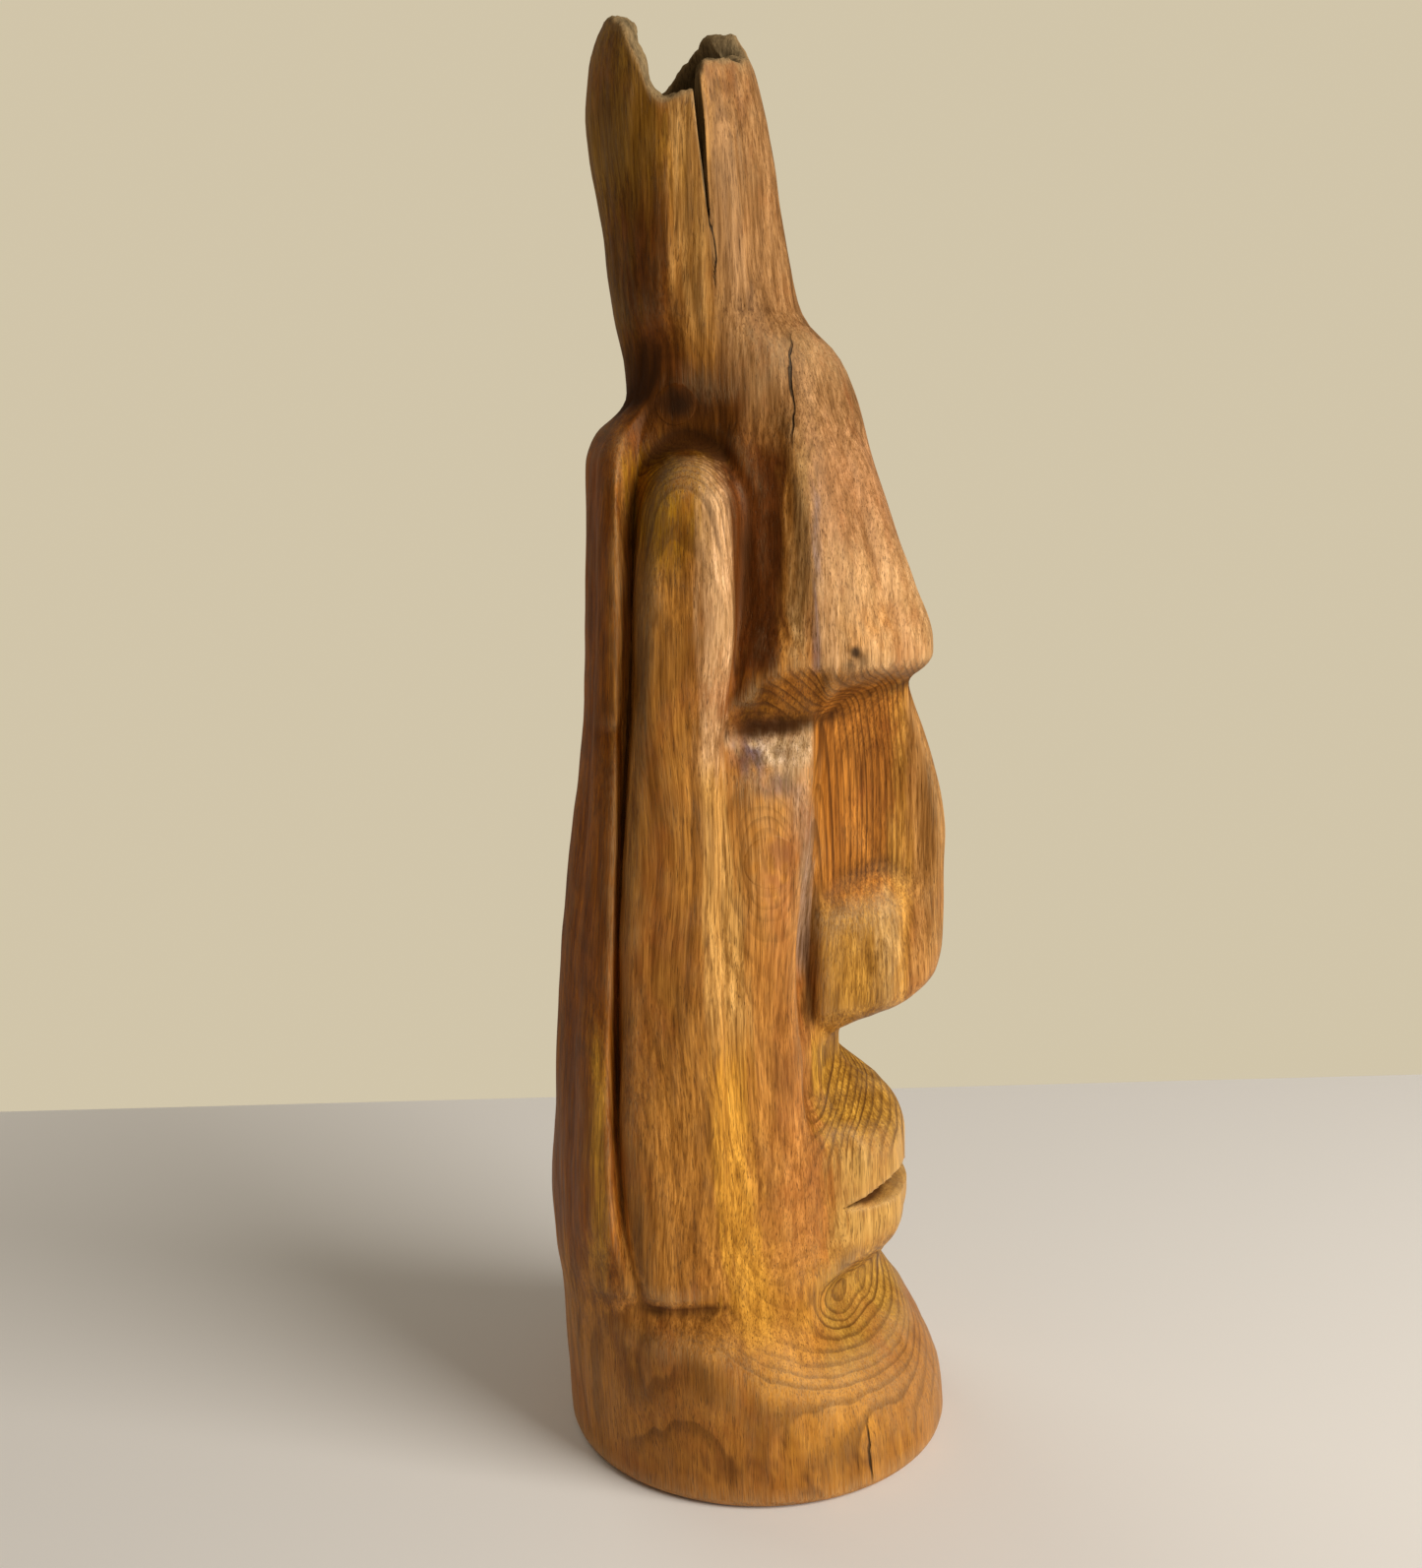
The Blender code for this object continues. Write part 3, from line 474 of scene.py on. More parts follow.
# Colours are linear. Each layer of paint is a band: its colour, strength, heights it runs between
# and their softness, then height, y of its front and rear edges up the log, and their softness.
staining = {
    # the dark inside of the mouth: painted shade with some dirt
    "mouth": (0.15, 0.055, 0.010),
    "heart": (0.44, 0.175, 0.028),
    "layers": [
        ((0.31, 0.122, 0.018), 0.85, (110, 262, 20), [(60, 16, 36), (262, 16, 34)], 3),
        ((0.60, 0.25, 0.048), 0.88, (64, 204, 12), [(60, -15, 9), (200, -14, 9)], 3),
        ((0.60, 0.255, 0.032), 0.9, (10, 62, 14), [(0, -40, 4), (60, -20, 6)], 9),
        ((0.40, 0.14, 0.022), 0.6, (-9, 7, 6), [(0, -14, 46), (20, -14, 46)], 5),
        # the back slab painted dark: shade on the side turned from the lamp, with some dirt in its
        # groove
        ((0.29, 0.075, 0.0015), 0.92, (60, 300, 14), [(60, 39, 70), (300, 36, 70)], 2.5),
        ((0.35, 0.155, 0.001), 0.95, (262, 292, 8), [(250, 12, 32), (300, 8, 34)], 2.5),
        ((0.70, 0.32, 0.036), 0.85, (48, 132, 12),
         [(40, -4, 5), (60, -2, 8), (80, 1, 13), (114, 2, 14), (147, 4, 14)], 2.6),
        ((0.64, 0.33, 0.085), 0.92, (132, 216, 12),
         [(120, 1, 14), (147, 4, 14.5), (174, 6, 14.5), (206, 10, 15.5)], 1.6),
        ((0.68, 0.33, 0.030), 0.7, (62, 132, 12), [(60, 43, 47.5), (140, 42, 46)], 1.4),
        # a cream strip down the ear's front edge: a painted highlight where the rounded edge faces the
        # lamp
        ((0.66, 0.37, 0.17), 0.9, (206, 284, 6), [(200, 10, 16), (240, 7, 14.5), (290, 6.5, 14)], 1.8),
        ((0.46, 0.17, 0.036), 0.55, (66, 200, 14), [(60, -22, -9), (120, -14, -5), (200, -13, -6)], 2.5),
        # forehead and the front of the crown, its middle, its rear
        ((0.56, 0.30, 0.125), 0.95, (228, 330, 8), [(200, -60, -16.5), (330, -60, -12)], 2.5),
        ((0.66, 0.36, 0.140), 0.7, (230, 262, 9), [(200, -60, -22), (330, -60, -22)], 5),
        ((0.40, 0.17, 0.060), 0.75, (264, 306, 14), [(250, -50, -15), (330, -40, -10)], 4),
        ((0.315, 0.150, 0.050), 0.95, (292, 402, 9), [(280, -30, 3), (320, -30, 10), (400, -30, 14)], 2),
        ((0.56, 0.28, 0.075), 0.9, (322, 402, 10), [(320, 10, 19), (400, 14, 22)], 2.5),
        # the crown's rear painted near-black: shade on the side turned from the lamp, over its darker
        # wood
        ((0.17, 0.045, 0.003), 0.92, (300, 410, 10), [(300, 16, 60), (340, 22, 60), (400, 23, 60)], 3),
        ((0.32, 0.155, 0.018), 0.75, (352, 410, 14), [(300, 18, 60), (400, 24, 60)], 5),
        ((0.23, 0.110, 0.010), 0.6, (300, 360, 12), [(300, 32, 60), (400, 36, 60)], 3),
        # temple valley, painted near-black as shade in its hollow with some dirt, its ridge, the grey
        # streak in front of it
        ((0.090, 0.020, 0.002), 0.97, (222, 292, 7), [(215, 1, 12), (240, -6, 6.5), (290, -8, 9)], 1.8),
        ((0.50, 0.28, 0.10), 0.8, (232, 290, 7), [(230, -13, -8), (290, -14, -10)], 1.5),
        ((0.20, 0.125, 0.105), 0.85, (226, 280, 7), [(220, -16.2, -14.4), (290, -16.6, -15)], 0.7),
        # painted shadow in the line under the ear's foot, painted shade in the recess over the ear
        ((0.13, 0.040, 0.006), 0.8, (55.6, 57.8, 0.6), [(50, 9, 32), (60, 9, 32)], 1.5),
        ((0.10, 0.026, 0.002), 0.92, (286, 312, 7), [(280, -2, 38), (312, 4, 34)], 5),
        # underside of the brow and the socket, painted dark: shade under the brow's overhang and in the
        # socket's cut
        ((0.25, 0.085, 0.007), 0.92, (219, 231.5, 2), [(215, -48, 8), (235, -48, 4)], 3),
        ((0.13, 0.045, 0.003), 0.85, (217, 230, 2), [(214, -4, 10), (232, 0, 6)], 3),
        ((0.07, 0.022, 0.003), 0.92, (214.5, 219.5, 1.5), [(210, -18, 9), (220, -18, 4)], 2),
        ((0.68, 0.46, 0.25), 0.9, (204.5, 214.5, 3),
         [(200, -9, -8), (205, -12, -4), (208, -14.2, 2), (211, -14.8, 7), (216, -15, 9)], 2.2),
        ((0.46, 0.32, 0.22), 0.6, (168, 203, 8),
         [(165, -16.5, -13), (184, -14.5, -10.5), (205, -13, -7)], 1.4),
        # side of the nose, its ridge, its front and its wing
        ((0.52, 0.19, 0.026), 0.95, (166, 224, 5), [(160, -37, -17), (224, -40, -17)], 2.5),
        ((0.56, 0.26, 0.042), 0.85, (132, 224, 5), [(130, -44, -37), (224, -44, -39)], 2),
        ((0.47, 0.22, 0.060), 0.8, (128, 222, 5), [(130, -60, -45), (224, -60, -44)], 2),
        ((0.43, 0.20, 0.028), 0.9, (126, 163, 5), [(120, -38, -17), (170, -38, -17)], 3),
        ((0.66, 0.40, 0.15), 0.65, (134, 162, 8), [(120, -40, -35), (170, -40, -36)], 2),
        # the crease beside the wing, painted dark as shade
        ((0.12, 0.045, 0.008), 0.85, (128, 168, 4),
         [(120, -17.5, -13), (150, -17, -12.5), (172, -19, -14)], 1.6),
        # a whitish streak where the cheek turns into the crease: a painted highlight
        ((0.36, 0.25, 0.18), 0.75, (146, 192, 6), [(140, -13, -10.5), (190, -16, -11)], 1),
        # upper lip, lips, chin
        ((0.43, 0.205, 0.022), 0.95, (92, 124, 5), [(90, -46, -20), (124, -46, -15)], 3),
        ((0.69, 0.385, 0.100), 0.9, (64, 94, 5), [(60, -48, -22), (94, -48, -22)], 4),
        ((0.49, 0.25, 0.036), 0.95, (36, 62, 5), [(36, -46, -18), (64, -44, -18)], 4)],
    # round marks on the figure's right, stains and one painted shadow: colour, strength, y, z, spreads
    "marks": [
        ((0.32, 0.10, 0.018), 0.4, 6, 20, 24, 13), ((0.27, 0.080, 0.014), 0.45, 34, 42, 11, 20),
        ((0.15, 0.050, 0.010), 0.6, 8, 12, 12, 4), ((0.52, 0.26, 0.080), 0.45, -5, 182, 10, 22),
        ((0.36, 0.115, 0.030), 0.6, -6, 176, 4.6, 14),
        ((0.10, 0.085, 0.14), 0.85, 2.5, 208, 4.5, 4),
        ((0.10, 0.07, 0.08), 0.8, 3, 211, 3.5, 2.5),
        ((0.16, 0.085, 0.085), 0.75, -4, 200.5, 8, 3),
        # a painted shadow in the deep cut under the brow
        ((0.03, 0.010, 0.004), 0.95, 0, 215.5, 9, 2.6),
        ((0.09, 0.05, 0.05), 0.7, -6, 206, 2.2, 5),
        ((0.04, 0.014, 0.005), 0.85, -26, 234.5, 3.4, 3),
        ((0.06, 0.022, 0.008), 0.6, -25.5, 264, 0.9, 0.8),
        ((0.13, 0.045, 0.015), 0.7, -14, 8, 4, 6), ((0.13, 0.045, 0.015), 0.6, -28, 11, 6, 4),
        ((0.22, 0.12, 0.05), 0.55, -27, 62, 3, 3), ((0.09, 0.03, 0.008), 0.9, 19, 303, 9, 5),
        ((0.66, 0.29, 0.07), 0.5, -30, 242, 8, 6)],
    # where the growth rings show: strength, then a box of y and z with soft sides
    "rings": [
        (0.95, (-42, -15), (168, 228), 3), (0.95, (-50, -15), (88, 124), 4),
        (0.9, (-46, -14), (34, 62), 5), (0.95, (-46, 8), (219, 233), 2.5),
        (0.9, (6, 33), (262, 292), 4), (0.24, (-17, 8), (156, 214), 5),
        (0.6, (-60, 60), (-9, 2), 2), (0.62, (-60, 60), (10, 46), 8)],
    # drying checks: side, then height and y down each
    "checks": [
        (-1, [(332, 10.4), (338, 9.8), (349, 12.2)]),
        (-1, [(292, -9.3), (300, -10.1), (306, -9.2), (318, -9.6)]),
        (-1, [(4, -31), (20, -29.6)]),
        (1, [(280, 22), (300, 20), (345, 19)]),
        (1, [(8, 12), (46, 9)])]}


# How closely a place lies in a hollow: the way to the softened surface, along the normal.
def hollowness(grid, normals, times):
    calm = np.ones(grid.shape[:2])[..., None]
    smooth = soften(soften(grid, times, 1, calm), times, 0, calm)
    return ((smooth - grid) * normals).sum(2)


# 1 between two levels and 0 outside them, easing over the softness at either.
def band(value, low, high, soft):
    return ease(value, low - soft, low + soft) * (1 - ease(value, high - soft, high + soft))


# The colours and strengths at any points: each layer's band, its edges pushed about by streaks,
# is painted over those before it.
def stainAt(points):
    x, y, z = points[..., 0], points[..., 1] - carving["shift"], points[..., 2]
    streak = ripple(points, 2.6, 34, (1, 1, 20)) + 0.6 * ripple(points, 9, 31, (1, 1, 14))
    right = 1 - ease(x, -4, 4)
    tint = np.broadcast_to(np.array(staining["heart"]), points.shape).copy()
    for colour, strength, (low, high, lift), edges, soft in staining["layers"]:
        mask = band(y + 0.55 * soft * streak, along(edges, z), along(edges, z, 2), soft)
        mask = (strength * mask * band(z + 0.3 * lift * streak, low, high, lift))[..., None]
        tint += (np.array(colour) - tint) * mask
    mottle = np.clip(0.7 + 0.6 * ripple(points, 5, 33), 0, 1) * right
    for colour, strength, markY, markZ, wide, tall in staining["marks"]:
        mask = strength * np.exp(-((y - markY) / wide) ** 4 - ((z - markZ) / tall) ** 4) * mottle
        tint += (np.array(colour) - tint) * mask[..., None]
    rings = 0.27 + 0 * z
    for strength, sides, heights, soft in staining["rings"]:
        rings = np.maximum(rings, strength * band(y, *sides, soft) * band(z, *heights, soft))
    # signed way across the check at this height, and where a check is open
    check, agape = 4.0 + 0 * z, 0 * z
    for side, line in staining["checks"]:
        off = np.clip(y - along(line, z) + 0.3 * ripple(points, 3, 35, (1, 1, 3)), -4, 4)
        here = band(z, line[0][0], line[-1][0], 3) * (np.sign(x) == side)
        check, agape = np.where(here > 0, off, check), agape + here * (np.abs(off) < 3)
    lips, foot = band(z, 64, 95, 4) * (1 - ease(y, -28, -20)), 1 - ease(z, 30, 58)
    flare = band(z, 44, 84, 8) * band(y, -26, 6, 4)
    forehead = band(z, 230, 290, 6) * (1 - ease(y, -20, -12))
    calm = 1 - 0.6 * lips - 0.6 * foot - 0.35 * flare * (1 - foot) - 0.3 * forehead
    # the inside of the mouth is painted dark: shade in the wedge, with some dirt
    middle, half = along(carving["mouth"], np.abs(x)), along(carving["mouth"], np.abs(x), 2)
    mouthShade = np.clip(1.25 - np.abs(z - middle) / half, 0, 1) * (y < -20) * (1 - ease(np.abs(x), 24, 31))
    tint += (np.array(staining["mouth"]) - tint) * (0.9 * mouthShade)[..., None]
    return {"tint": tint, "rings": rings, "check": check, "agape": agape, "calm": calm}


def stainLog(piece, grid):
    normals = gridNormals(grid)
    z = grid[..., 2]
    values = stainAt(grid)
    raw = ease(np.arange(len(grid))[:, None] + 0 * z, carving["rows"] - 1, carving["rows"] + 3)
    narrow, wide = hollowness(grid, normals, 5), hollowness(grid, normals, 30)
    front = 1 - ease(grid[..., 1], -22, -12)
    fresh = front * (band(z, 38, 60, 4) + band(z, 84, 124, 5) + 0.6 * band(z, 160, 180, 4))
    fresh = fresh + (1 - ease(grid[..., 1], -10, 2)) * band(z, 300, 336, 6)
    # darkening in the hollows: soil together with painted shade, less where the cuts are fresh
    soil = (np.clip(narrow * 1.6, 0, 1) + np.clip(wide * 0.24, 0, 0.7)) * (1 - 0.85 * fresh)
    values |= {"soil": soil, "edge": np.clip(-narrow * 2.2, 0, 1), "raw": raw}
    for name, value in values.items():
        writeAttribute(piece, name, value)


stainLog(carvedLog, logGrid)
print("log colours placed")

woodLook = {
    "pithX": -10.0, "pithLean": 17 / 400, "ringWidth": 1.6,
    # the dark hollow colour stands for soil together with painted shade
    "late": (0.070, 0.020, 0.003), "red": (0.36, 0.10, 0.020), "soil": (0.050, 0.016, 0.004),
    # the pale edge colour is wax in the grain together with a painted sheen
    "grey": (0.24, 0.17, 0.085), "waxAndSheen": (0.70, 0.46, 0.22),
    "roughness": 0.44, "wax": 0.04, "waxRoughness": 0.30, "gloss": 0.22, "oil": (1.0, 0.72, 0.36),
    # knots that push the rings outwards: centre, spread along x, y and z, and how far
    "ringKnots": [((-38, -5.5, 181), (16, 11, 20), 10.0), ((-27, 18, 300), (13, 10, 11), 6.0),
                  ((-37, -27, 235), (5, 3.5, 4), 2.5), ((40, 4, 150), (14, 10, 17), 6.0),
                  ((4, 50, 205), (9, 14, 15), 6.0)],
}


# Short ways to add nodes: each adds one node, links or sets its inputs and returns an output.
def nodeTools(tree):
    def node(kind, inputs, output=0, **settings):
        made = tree.nodes.new(kind)
        for key, value in settings.items():
            setattr(made, key, value)
        for key, value in inputs.items():
            if isinstance(value, bpy.types.NodeSocket):
                tree.links.new(value, made.inputs[key])
            elif value is not None:
                made.inputs[key].default_value = value
        return made.outputs[output]

    def calc(operation, a, b=None, c=None):
        return node("ShaderNodeMath", {0: a, 1: b, 2: c}, operation=operation)

    def vector(operation, a, b=None, output=0):
        return node("ShaderNodeVectorMath", {0: a, 1: b}, output, operation=operation)

    def noise(place, detail=2.0, rough=0.5, output=0):
        return node("ShaderNodeTexNoise", {"Vector": place, "Scale": 1.0, "Detail": detail,
                                           "Roughness": rough}, output)

    def span(value, low, high, start=0.0, end=1.0):
        return node("ShaderNodeMapRange", {0: value, 1: low, 2: high, 3: start, 4: end},
                    interpolation_type="SMOOTHSTEP")

    def mix(factor, a, b, blend="MIX"):
        a, b = [v if isinstance(v, bpy.types.NodeSocket) else (*v, 1.0) for v in (a, b)]
        return node("ShaderNodeMix", {0: factor, 6: a, 7: b}, 2, data_type="RGBA", blend_type=blend)

    def layer(name):
        return node("ShaderNodeAttribute", {}, 2, attribute_name=name)

    return node, calc, vector, noise, span, mix, layer


# The growth rings: the distance from a leaning, wandering pith, less a bump at each knot, over
# the ring width. The fraction of that climbs slowly to the dark late wood and drops at once.
def ringNodes(tree):
    node, calc, vector, noise, span, mix, layer = nodeTools(tree)
    look = woodLook
    place = vector("MULTIPLY", node("ShaderNodeTexCoord", {}, 3), (1000, 1000, 1000))
    slow = noise(vector("MULTIPLY", place, (1 / 60, 1 / 60, 1 / 90)), 1.0, 0.5, 1)
    slow = vector("MULTIPLY", vector("SUBTRACT", slow, (0.5, 0.5, 0.5)), (11, 11, 0))
    quick = noise(vector("MULTIPLY", place, (1 / 12, 1 / 12, 1 / 34)), 2.0, 0.5, 1)
    quick = vector("MULTIPLY", vector("SUBTRACT", quick, (0.5, 0.5, 0.5)), (1.3, 1.3, 0))
    bent = vector("ADD", vector("ADD", place, slow), quick)
    parts = node("ShaderNodeSeparateXYZ", {0: bent}).node.outputs
    armY = calc("SUBTRACT", parts[1], calc("MULTIPLY", parts[2], look["pithLean"]))
    armX = calc("SUBTRACT", parts[0], look["pithX"])
    radius = vector("LENGTH", node("ShaderNodeCombineXYZ", {0: armX, 1: armY}), output=1)
    for centre, spread, push in look["ringKnots"]:
        off = vector("DIVIDE", vector("SUBTRACT", place, centre), spread)
        near = calc("POWER", math.e, calc("MULTIPLY", vector("DOT_PRODUCT", off, off, 1), -1.0))
        radius = calc("SUBTRACT", radius, calc("MULTIPLY", near, push))
    year = calc("MULTIPLY", radius, 1 / look["ringWidth"])
    year = calc("ADD", year, calc("MULTIPLY", noise(node(
        "ShaderNodeCombineXYZ", {0: calc("MULTIPLY", radius, 1 / 7)}), 1.0), 2.2))
    part = calc("FRACT", year)
    late = calc("MULTIPLY", span(part, 0.42, 0.84), span(part, 0.90, 1.0, 1.0, 0.0))
    each = node("ShaderNodeTexWhiteNoise", {"W": calc("FLOOR", year)}, noise_dimensions="1D")
    late = calc("MULTIPLY", late, span(each, 0.0, 1.0, 0.68, 1.0))
    return place, bent, late


def makeWood(name, knotDark=None):
    material = bpy.data.materials.new(name)
    material.use_nodes = True
    tree = material.node_tree
    node, calc, vector, noise, span, mix, layer = nodeTools(tree)
    look = woodLook
    place, bent, late = ringNodes(tree)
    fibre = noise(vector("MULTIPLY", bent, (1 / 0.8, 1 / 0.8, 1 / 17)), 4.0, 0.65)
    strand = noise(vector("MULTIPLY", bent, (1 / 2.4, 1 / 2.4, 1 / 70)), 3.0, 0.6)
    patch = noise(vector("MULTIPLY", bent, (1 / 9, 1 / 9, 1 / 90)), 3.0, 0.55)
    hair = noise(vector("MULTIPLY", bent, (1 / 0.3, 1 / 0.3, 1 / 11)), 1.0, 0.5)
    cloud = noise(vector("MULTIPLY", place, (1 / 20, 1 / 20, 1 / 34)), 4.0, 0.65)
    fleck = noise(vector("MULTIPLY", bent, (1 / 0.34, 1 / 0.34, 1 / 6.0)), 2.0, 0.5)
    soil, raw, rings = layer("soil"), layer("raw"), layer("rings")
    tint = node("ShaderNodeAttribute", {}, 0, attribute_name="tint")

    # long streaks, lighter and darker, and reddish clouds
    swing = calc("MULTIPLY", span(patch, 0.30, 0.70, 0.70, 1.24), span(strand, 0.30, 0.70, 0.66, 1.28))
    swing = calc("POWER", calc("MULTIPLY", swing, span(fibre, 0.28, 0.72, 0.52, 1.42)), layer("calm"))
    colour = mix(1.0, tint, node("ShaderNodeCombineXYZ", {
        0: calc("POWER", swing, 0.85), 1: swing, 2: calc("POWER", swing, 1.3)}), "MULTIPLY")
    colour = mix(span(cloud, 0.50, 0.72, 0.0, 0.42), colour, look["red"])
    # rings, strong where the carving cuts across them, and short dark flecks
    strength = calc("MULTIPLY", late, calc("MULTIPLY", rings, span(cloud, 0.3, 0.7, 1.0, 0.72)))
    colour = mix(strength, colour, look["late"])
    colour = mix(span(fleck, 0.60, 0.72, 0.0, 0.55), colour, look["late"])
    colour = mix(span(hair, 0.56, 0.68, 0.0, 0.5), colour, look["late"])
    # soil, old wax and painted shade darken the hollows, then the weathered break
    colour = mix(span(soil, 0.10, 1.1, 0.0, 0.88), colour, look["soil"])
    worn = mix(span(fibre, 0.3, 0.7), tuple(0.40 * c for c in look["grey"]), look["grey"])
    colour = mix(raw, colour, worn)
    # pale wax on the convex edges, together with a painted sheen on them
    waxDustAndSheen = calc("MULTIPLY", layer("edge"), span(fleck, 0.35, 0.6, 0.08, 0.30))
    colour = mix(waxDustAndSheen, colour, look["waxAndSheen"])
    seam = span(calc("ABSOLUTE", layer("check")), 0.12, 0.42, 1.0, 0.0)
    seam = calc("MULTIPLY", seam, layer("agape"))
    seam = calc("MULTIPLY", seam, span(strand, 0.25, 0.5, 0.5, 1.0))
    colour = mix(calc("MULTIPLY", seam, 0.9), colour, (0.006, 0.003, 0.002))
    if knotDark:
        centre, spread, much, dark = knotDark
        off = vector("DIVIDE", vector("SUBTRACT", bent, centre), spread)
        core = span(vector("LENGTH", off, output=1), 0.25, 1.0, much, 0.0)
        colour = mix(core, colour, dark)

    shader = tree.nodes["Principled BSDF"]
    tree.links.new(colour, shader.inputs["Base Color"])
    worst = calc("MAXIMUM", raw, calc("MULTIPLY", soil, 0.5))
    rough = calc("ADD", span(fibre, 0.2, 0.8, look["roughness"] - 0.08, look["roughness"] + 0.12),
                 calc("MULTIPLY", worst, 0.38))
    tree.links.new(rough, shader.inputs["Roughness"])
    clean = calc("SUBTRACT", 1.0, worst)
    tree.links.new(calc("MULTIPLY", look["gloss"], clean), shader.inputs["Specular IOR Level"])
    tree.links.new(calc("MULTIPLY", clean, look["wax"]), shader.inputs["Coat Weight"])
    shader.inputs["Coat Roughness"].default_value = look["waxRoughness"]
    shader.inputs["Specular Tint"].default_value = (*look["oil"], 1)
    height = calc("ADD", calc("MULTIPLY", fibre, 0.12), calc("MULTIPLY", strand, 0.20))
    height = calc("SUBTRACT", height, calc("MULTIPLY", strength, 0.09))
    height = calc("SUBTRACT", height, calc("MULTIPLY", span(fleck, 0.6, 0.75), 0.10))
    height = calc("SUBTRACT", height, calc("MULTIPLY", seam, 0.7))
    bumpNode = node("ShaderNodeBump", {"Height": height, "Strength": 1.0, "Distance": 0.001})
    tree.links.new(bumpNode, shader.inputs["Normal"])
    return material


logWood = makeWood("waxedLogWood")
carvedLog.data.materials.append(logWood)
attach(carvedLog, "root")
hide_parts("carved_log")
print("wood made")

knots = {
    "cheekKnot": {"node": "cheek_knot", "slot": "knot_wood", "centre": (-37.5, -5.0, 180.0),
                  "radius": 7.5, "depth": 9.0,
                  "dark": ((-38, -6.5, 183), (9, 4.2, 6.5), 0.5, (0.24, 0.085, 0.03))},
    "templeKnot": {"node": "temple_knot", "slot": "dark_knot_wood", "centre": (-26.0, 19.5, 301.0),
                   "radius": 5.5, "depth": 8.0,
                   "dark": ((-26, 19, 301), (9, 6, 5.5), 0.9, (0.03, 0.01, 0.004))},
    "browKnot": {"node": "brow_knot", "slot": "dark_knot_wood", "centre": (-38.3, -27.0, 236.5),
                 "radius": 2.6, "depth": 5.0,
                 "dark": ((-38, -27, 236.3), (4, 2.2, 2.4), 0.95, (0.035, 0.014, 0.006))},
}


# Reads a grid between its points: the four around a place, weighted by nearness.
def readGrid(grid, row, column):
    r, c = row.astype(int), column.astype(int)
    u, v = (row - r)[..., None], (column - c)[..., None]
    return ((grid[r, c] * (1 - v) + grid[r, c + 1] * v) * (1 - u)
            + (grid[r + 1, c] * (1 - v) + grid[r + 1, c + 1] * v) * u)


# The grid places whose y and z are the ones wanted, by stepping along the local slopes.
def placeOnLog(y, z, centre):
    half = logGrid[:, :len(logGrid[0]) // 2]
    start = np.unravel_index(np.linalg.norm(half - np.array(centre), axis=2).argmin(), half.shape[:2])
    row, column = start[0] + 0 * y, start[1] + 0 * y
    for _ in range(12):
        here = readGrid(half, row, column)
        acrossStep = readGrid(half, row, column + 1)[..., 1] - here[..., 1]
        upStep = readGrid(half, row + 1, column)[..., 2] - here[..., 2]
        column = np.clip(column + 0.8 * (y - here[..., 1]) / acrossStep, start[1] - 20, start[1] + 20)
        row = np.clip(row + 0.8 * (z - here[..., 2]) / upStep, start[0] - 20, start[0] + 20)
    return row, column


# A knot is round: its face is the log's own, lifted a hair in the middle and dipping in at the
# rim by h = 0.07 (1 - r^2) - dip, and its back draws in towards a point along the normals.
def makeKnot(name, spec):
    steps = 48
    out = np.concatenate([np.linspace(0.08, 1.0, 12), [1.03, 1.04, 0.9, 0.6, 0.25]])
    sink = np.concatenate([-0.07 * (1 - out[:12] ** 2), [0.35, 1.2, 3.5, 6.5, 9.0]])
    sink = np.where(sink > 1.3, sink * spec["depth"] / 9, sink)[:, None]
    turn = np.arange(steps) * 2 * np.pi / steps
    y = spec["centre"][1] + spec["radius"] * out[:, None] * np.cos(turn)
    z = spec["centre"][2] + spec["radius"] * out[:, None] * np.sin(turn)
    row, column = placeOnLog(y, z, spec["centre"])
    half = logGrid[:, :len(logGrid[0]) // 2]
    grid = readGrid(half, row, column) - readGrid(gridNormals(logGrid), row, column) * sink[..., None]
    grid = grid[:, ::-1]
    knot = gridMesh(name, grid, grid[0].mean(0), grid[-1].mean(0))
    values = stainAt(grid) | {"soil": 0 * y, "edge": 0 * y, "raw": 0 * y}
    for key, value in values.items():
        writeAttribute(knot, key, value)
    knot.data.materials.append(makeWood(name + "Wood", spec["dark"]))
    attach(knot, "root")
    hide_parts(spec["node"])


for knotName, knotSpec in knots.items():
    makeKnot(knotName, knotSpec)
print("knots set")

studio = {
    "table": {"low": (-0.75, -0.95), "high": (0.262, 0.95), "turn": 2.6, "colour": (0.86, 0.83, 0.79)},
    # the plain backdrop as seen, and the much dimmer room as a light
    "backdrop": (0.64, 0.56, 0.40), "room": (0.17, 0.15, 0.12),
    "lamps": {
        "window": {"place": (-0.64, -0.94, 0.74), "aim": (0, 0, 0.19), "size": 0.8, "power": 18.5,
                   "colour": (1.0, 0.96, 0.90)},
        "wallGlow": {"place": (0.85, 0.75, 0.6), "aim": (0, 0, 0.2), "size": 0.9, "power": 4.0,
                     "colour": (1.0, 0.94, 0.82)}},
    "camera": {"place": (-0.4844, 0.0110, 0.2850), "down": 10.61, "roll": -0.56, "lens": 39.04},
}


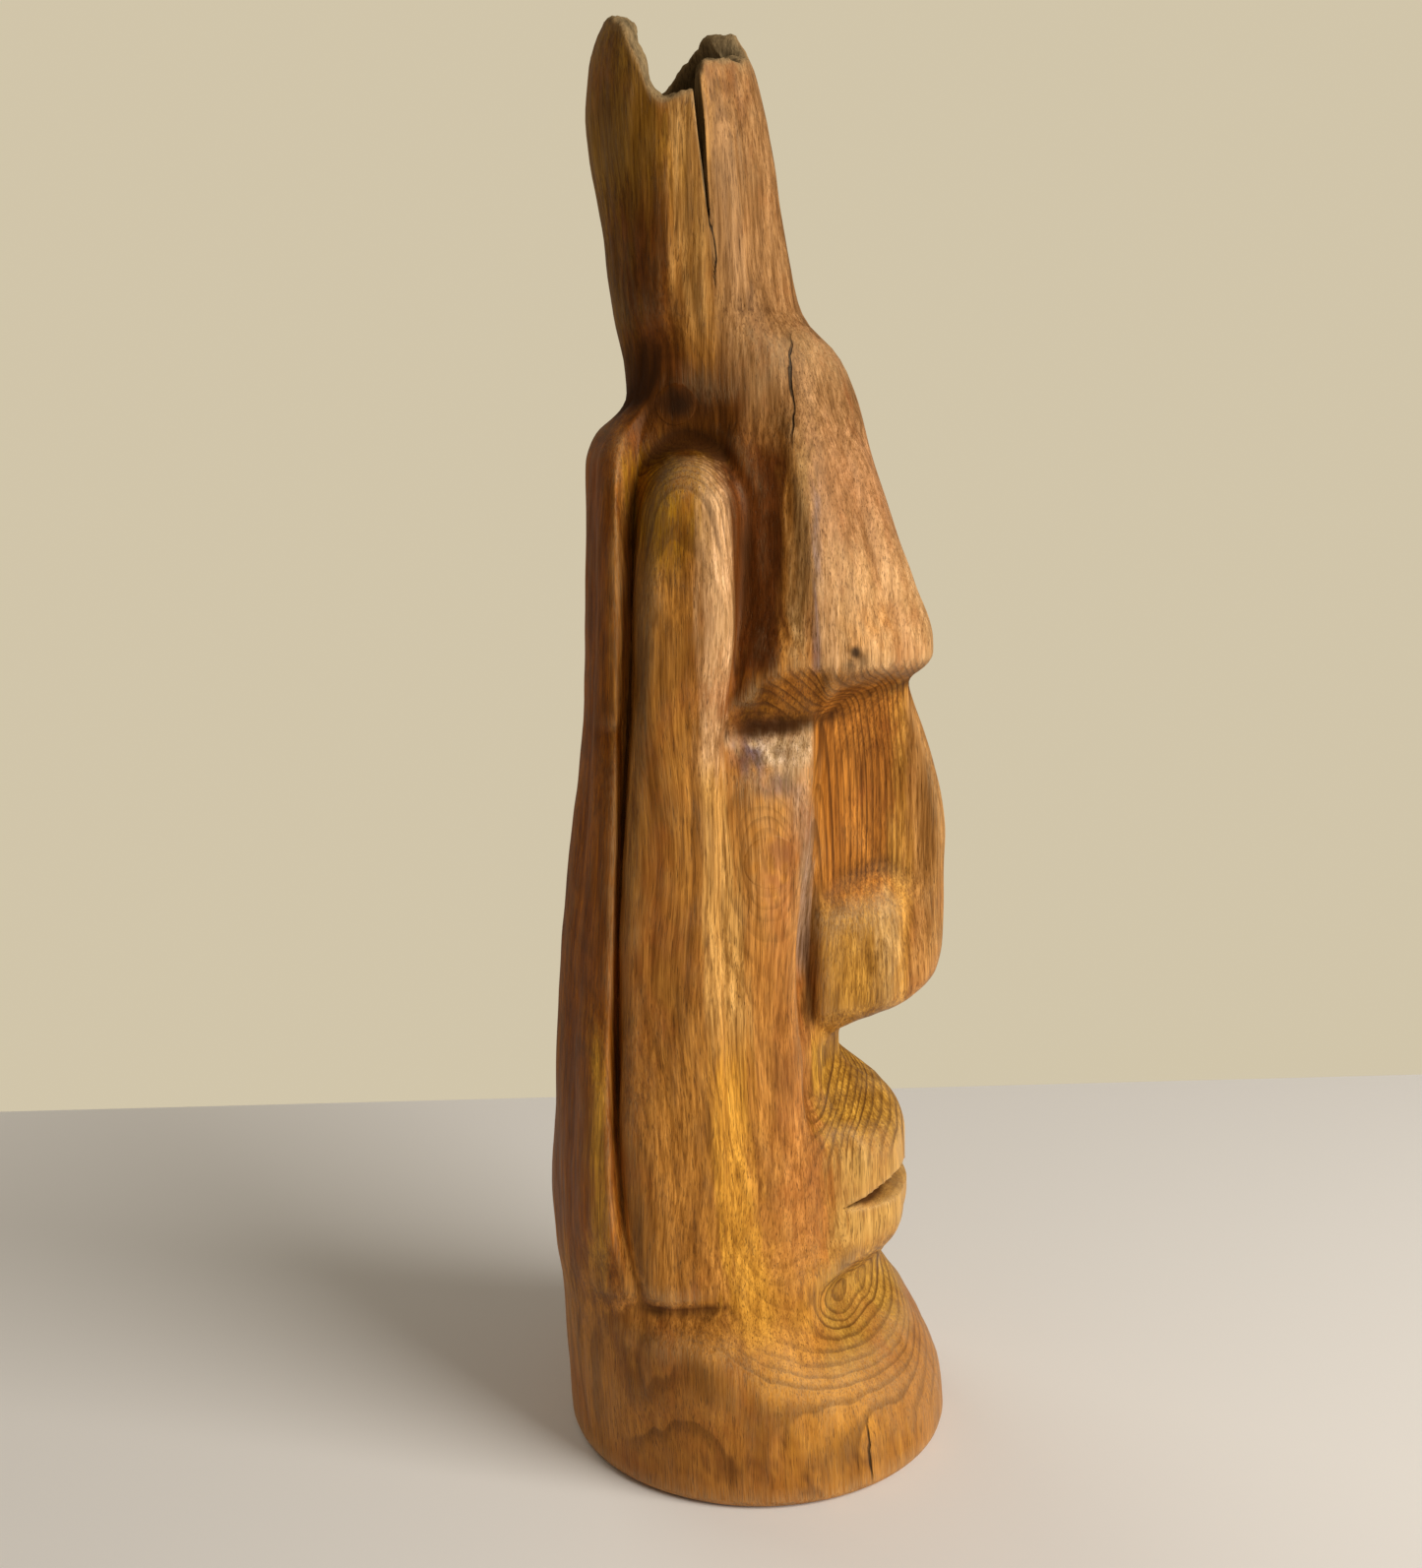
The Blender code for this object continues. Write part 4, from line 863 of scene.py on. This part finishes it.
def plainMaterial(name, colour, roughness):
    material = bpy.data.materials.new(name)
    material.use_nodes = True
    shader = material.node_tree.nodes["Principled BSDF"]
    shader.inputs["Base Color"].default_value = (*colour, 1)
    shader.inputs["Roughness"].default_value = roughness
    return material


def makeStudio():
    table = studio["table"]
    (x0, y0), (x1, y1) = table["low"], table["high"]
    turn = math.tan(math.radians(table["turn"]))
    corners = [(x0, y0, 0), (x1 - turn * y0, y0, 0), (x1 - turn * y1, y1, 0), (x0, y1, 0)]
    mesh = bpy.data.meshes.new("tableTop")
    mesh.from_pydata(corners, [], [(0, 1, 2, 3)])
    mesh.materials.append(plainMaterial("tableTop", table["colour"], 0.9))
    floor = bpy.data.objects.new("tableTop", mesh)
    bpy.context.scene.collection.objects.link(floor)
    world = bpy.data.worlds.new("studio")
    world.use_nodes = True
    node, calc, vector, noise, span, mix, layer = nodeTools(world.node_tree)
    seen = node("ShaderNodeLightPath", {})
    sky = world.node_tree.nodes["Background"]
    world.node_tree.links.new(mix(seen, studio["room"], studio["backdrop"]), sky.inputs["Color"])
    bpy.context.scene.world = world
    for name, lamp in studio["lamps"].items():
        light = bpy.data.lights.new(name, "AREA")
        light.size, light.energy, light.color = lamp["size"], lamp["power"], lamp["colour"]
        holder = bpy.data.objects.new(name, light)
        bpy.context.scene.collection.objects.link(holder)
        aim = np.array(lamp["aim"]) - np.array(lamp["place"])
        holder.location = lamp["place"]
        holder.visible_glossy = name == "window"
        holder.rotation_euler = (math.atan2(math.hypot(aim[0], aim[1]), -aim[2]), 0,
                                 math.atan2(aim[1], aim[0]) - math.pi / 2)
    view = studio["camera"]
    lens = bpy.data.cameras.new("camera")
    lens.lens, lens.sensor_width = view["lens"], 36
    camera = bpy.data.objects.new("camera", lens)
    bpy.context.scene.collection.objects.link(camera)
    camera.matrix_world = (Matrix.Translation(view["place"]) @ Matrix.Rotation(-math.pi / 2, 4, "Z")
                           @ Matrix.Rotation(math.radians(90 - view["down"]), 4, "X")
                           @ Matrix.Rotation(math.radians(view["roll"]), 4, "Z"))
    bpy.context.scene.camera = camera
    bpy.context.scene.view_settings.view_transform = "Standard"


makeStudio()
print("studio ready")
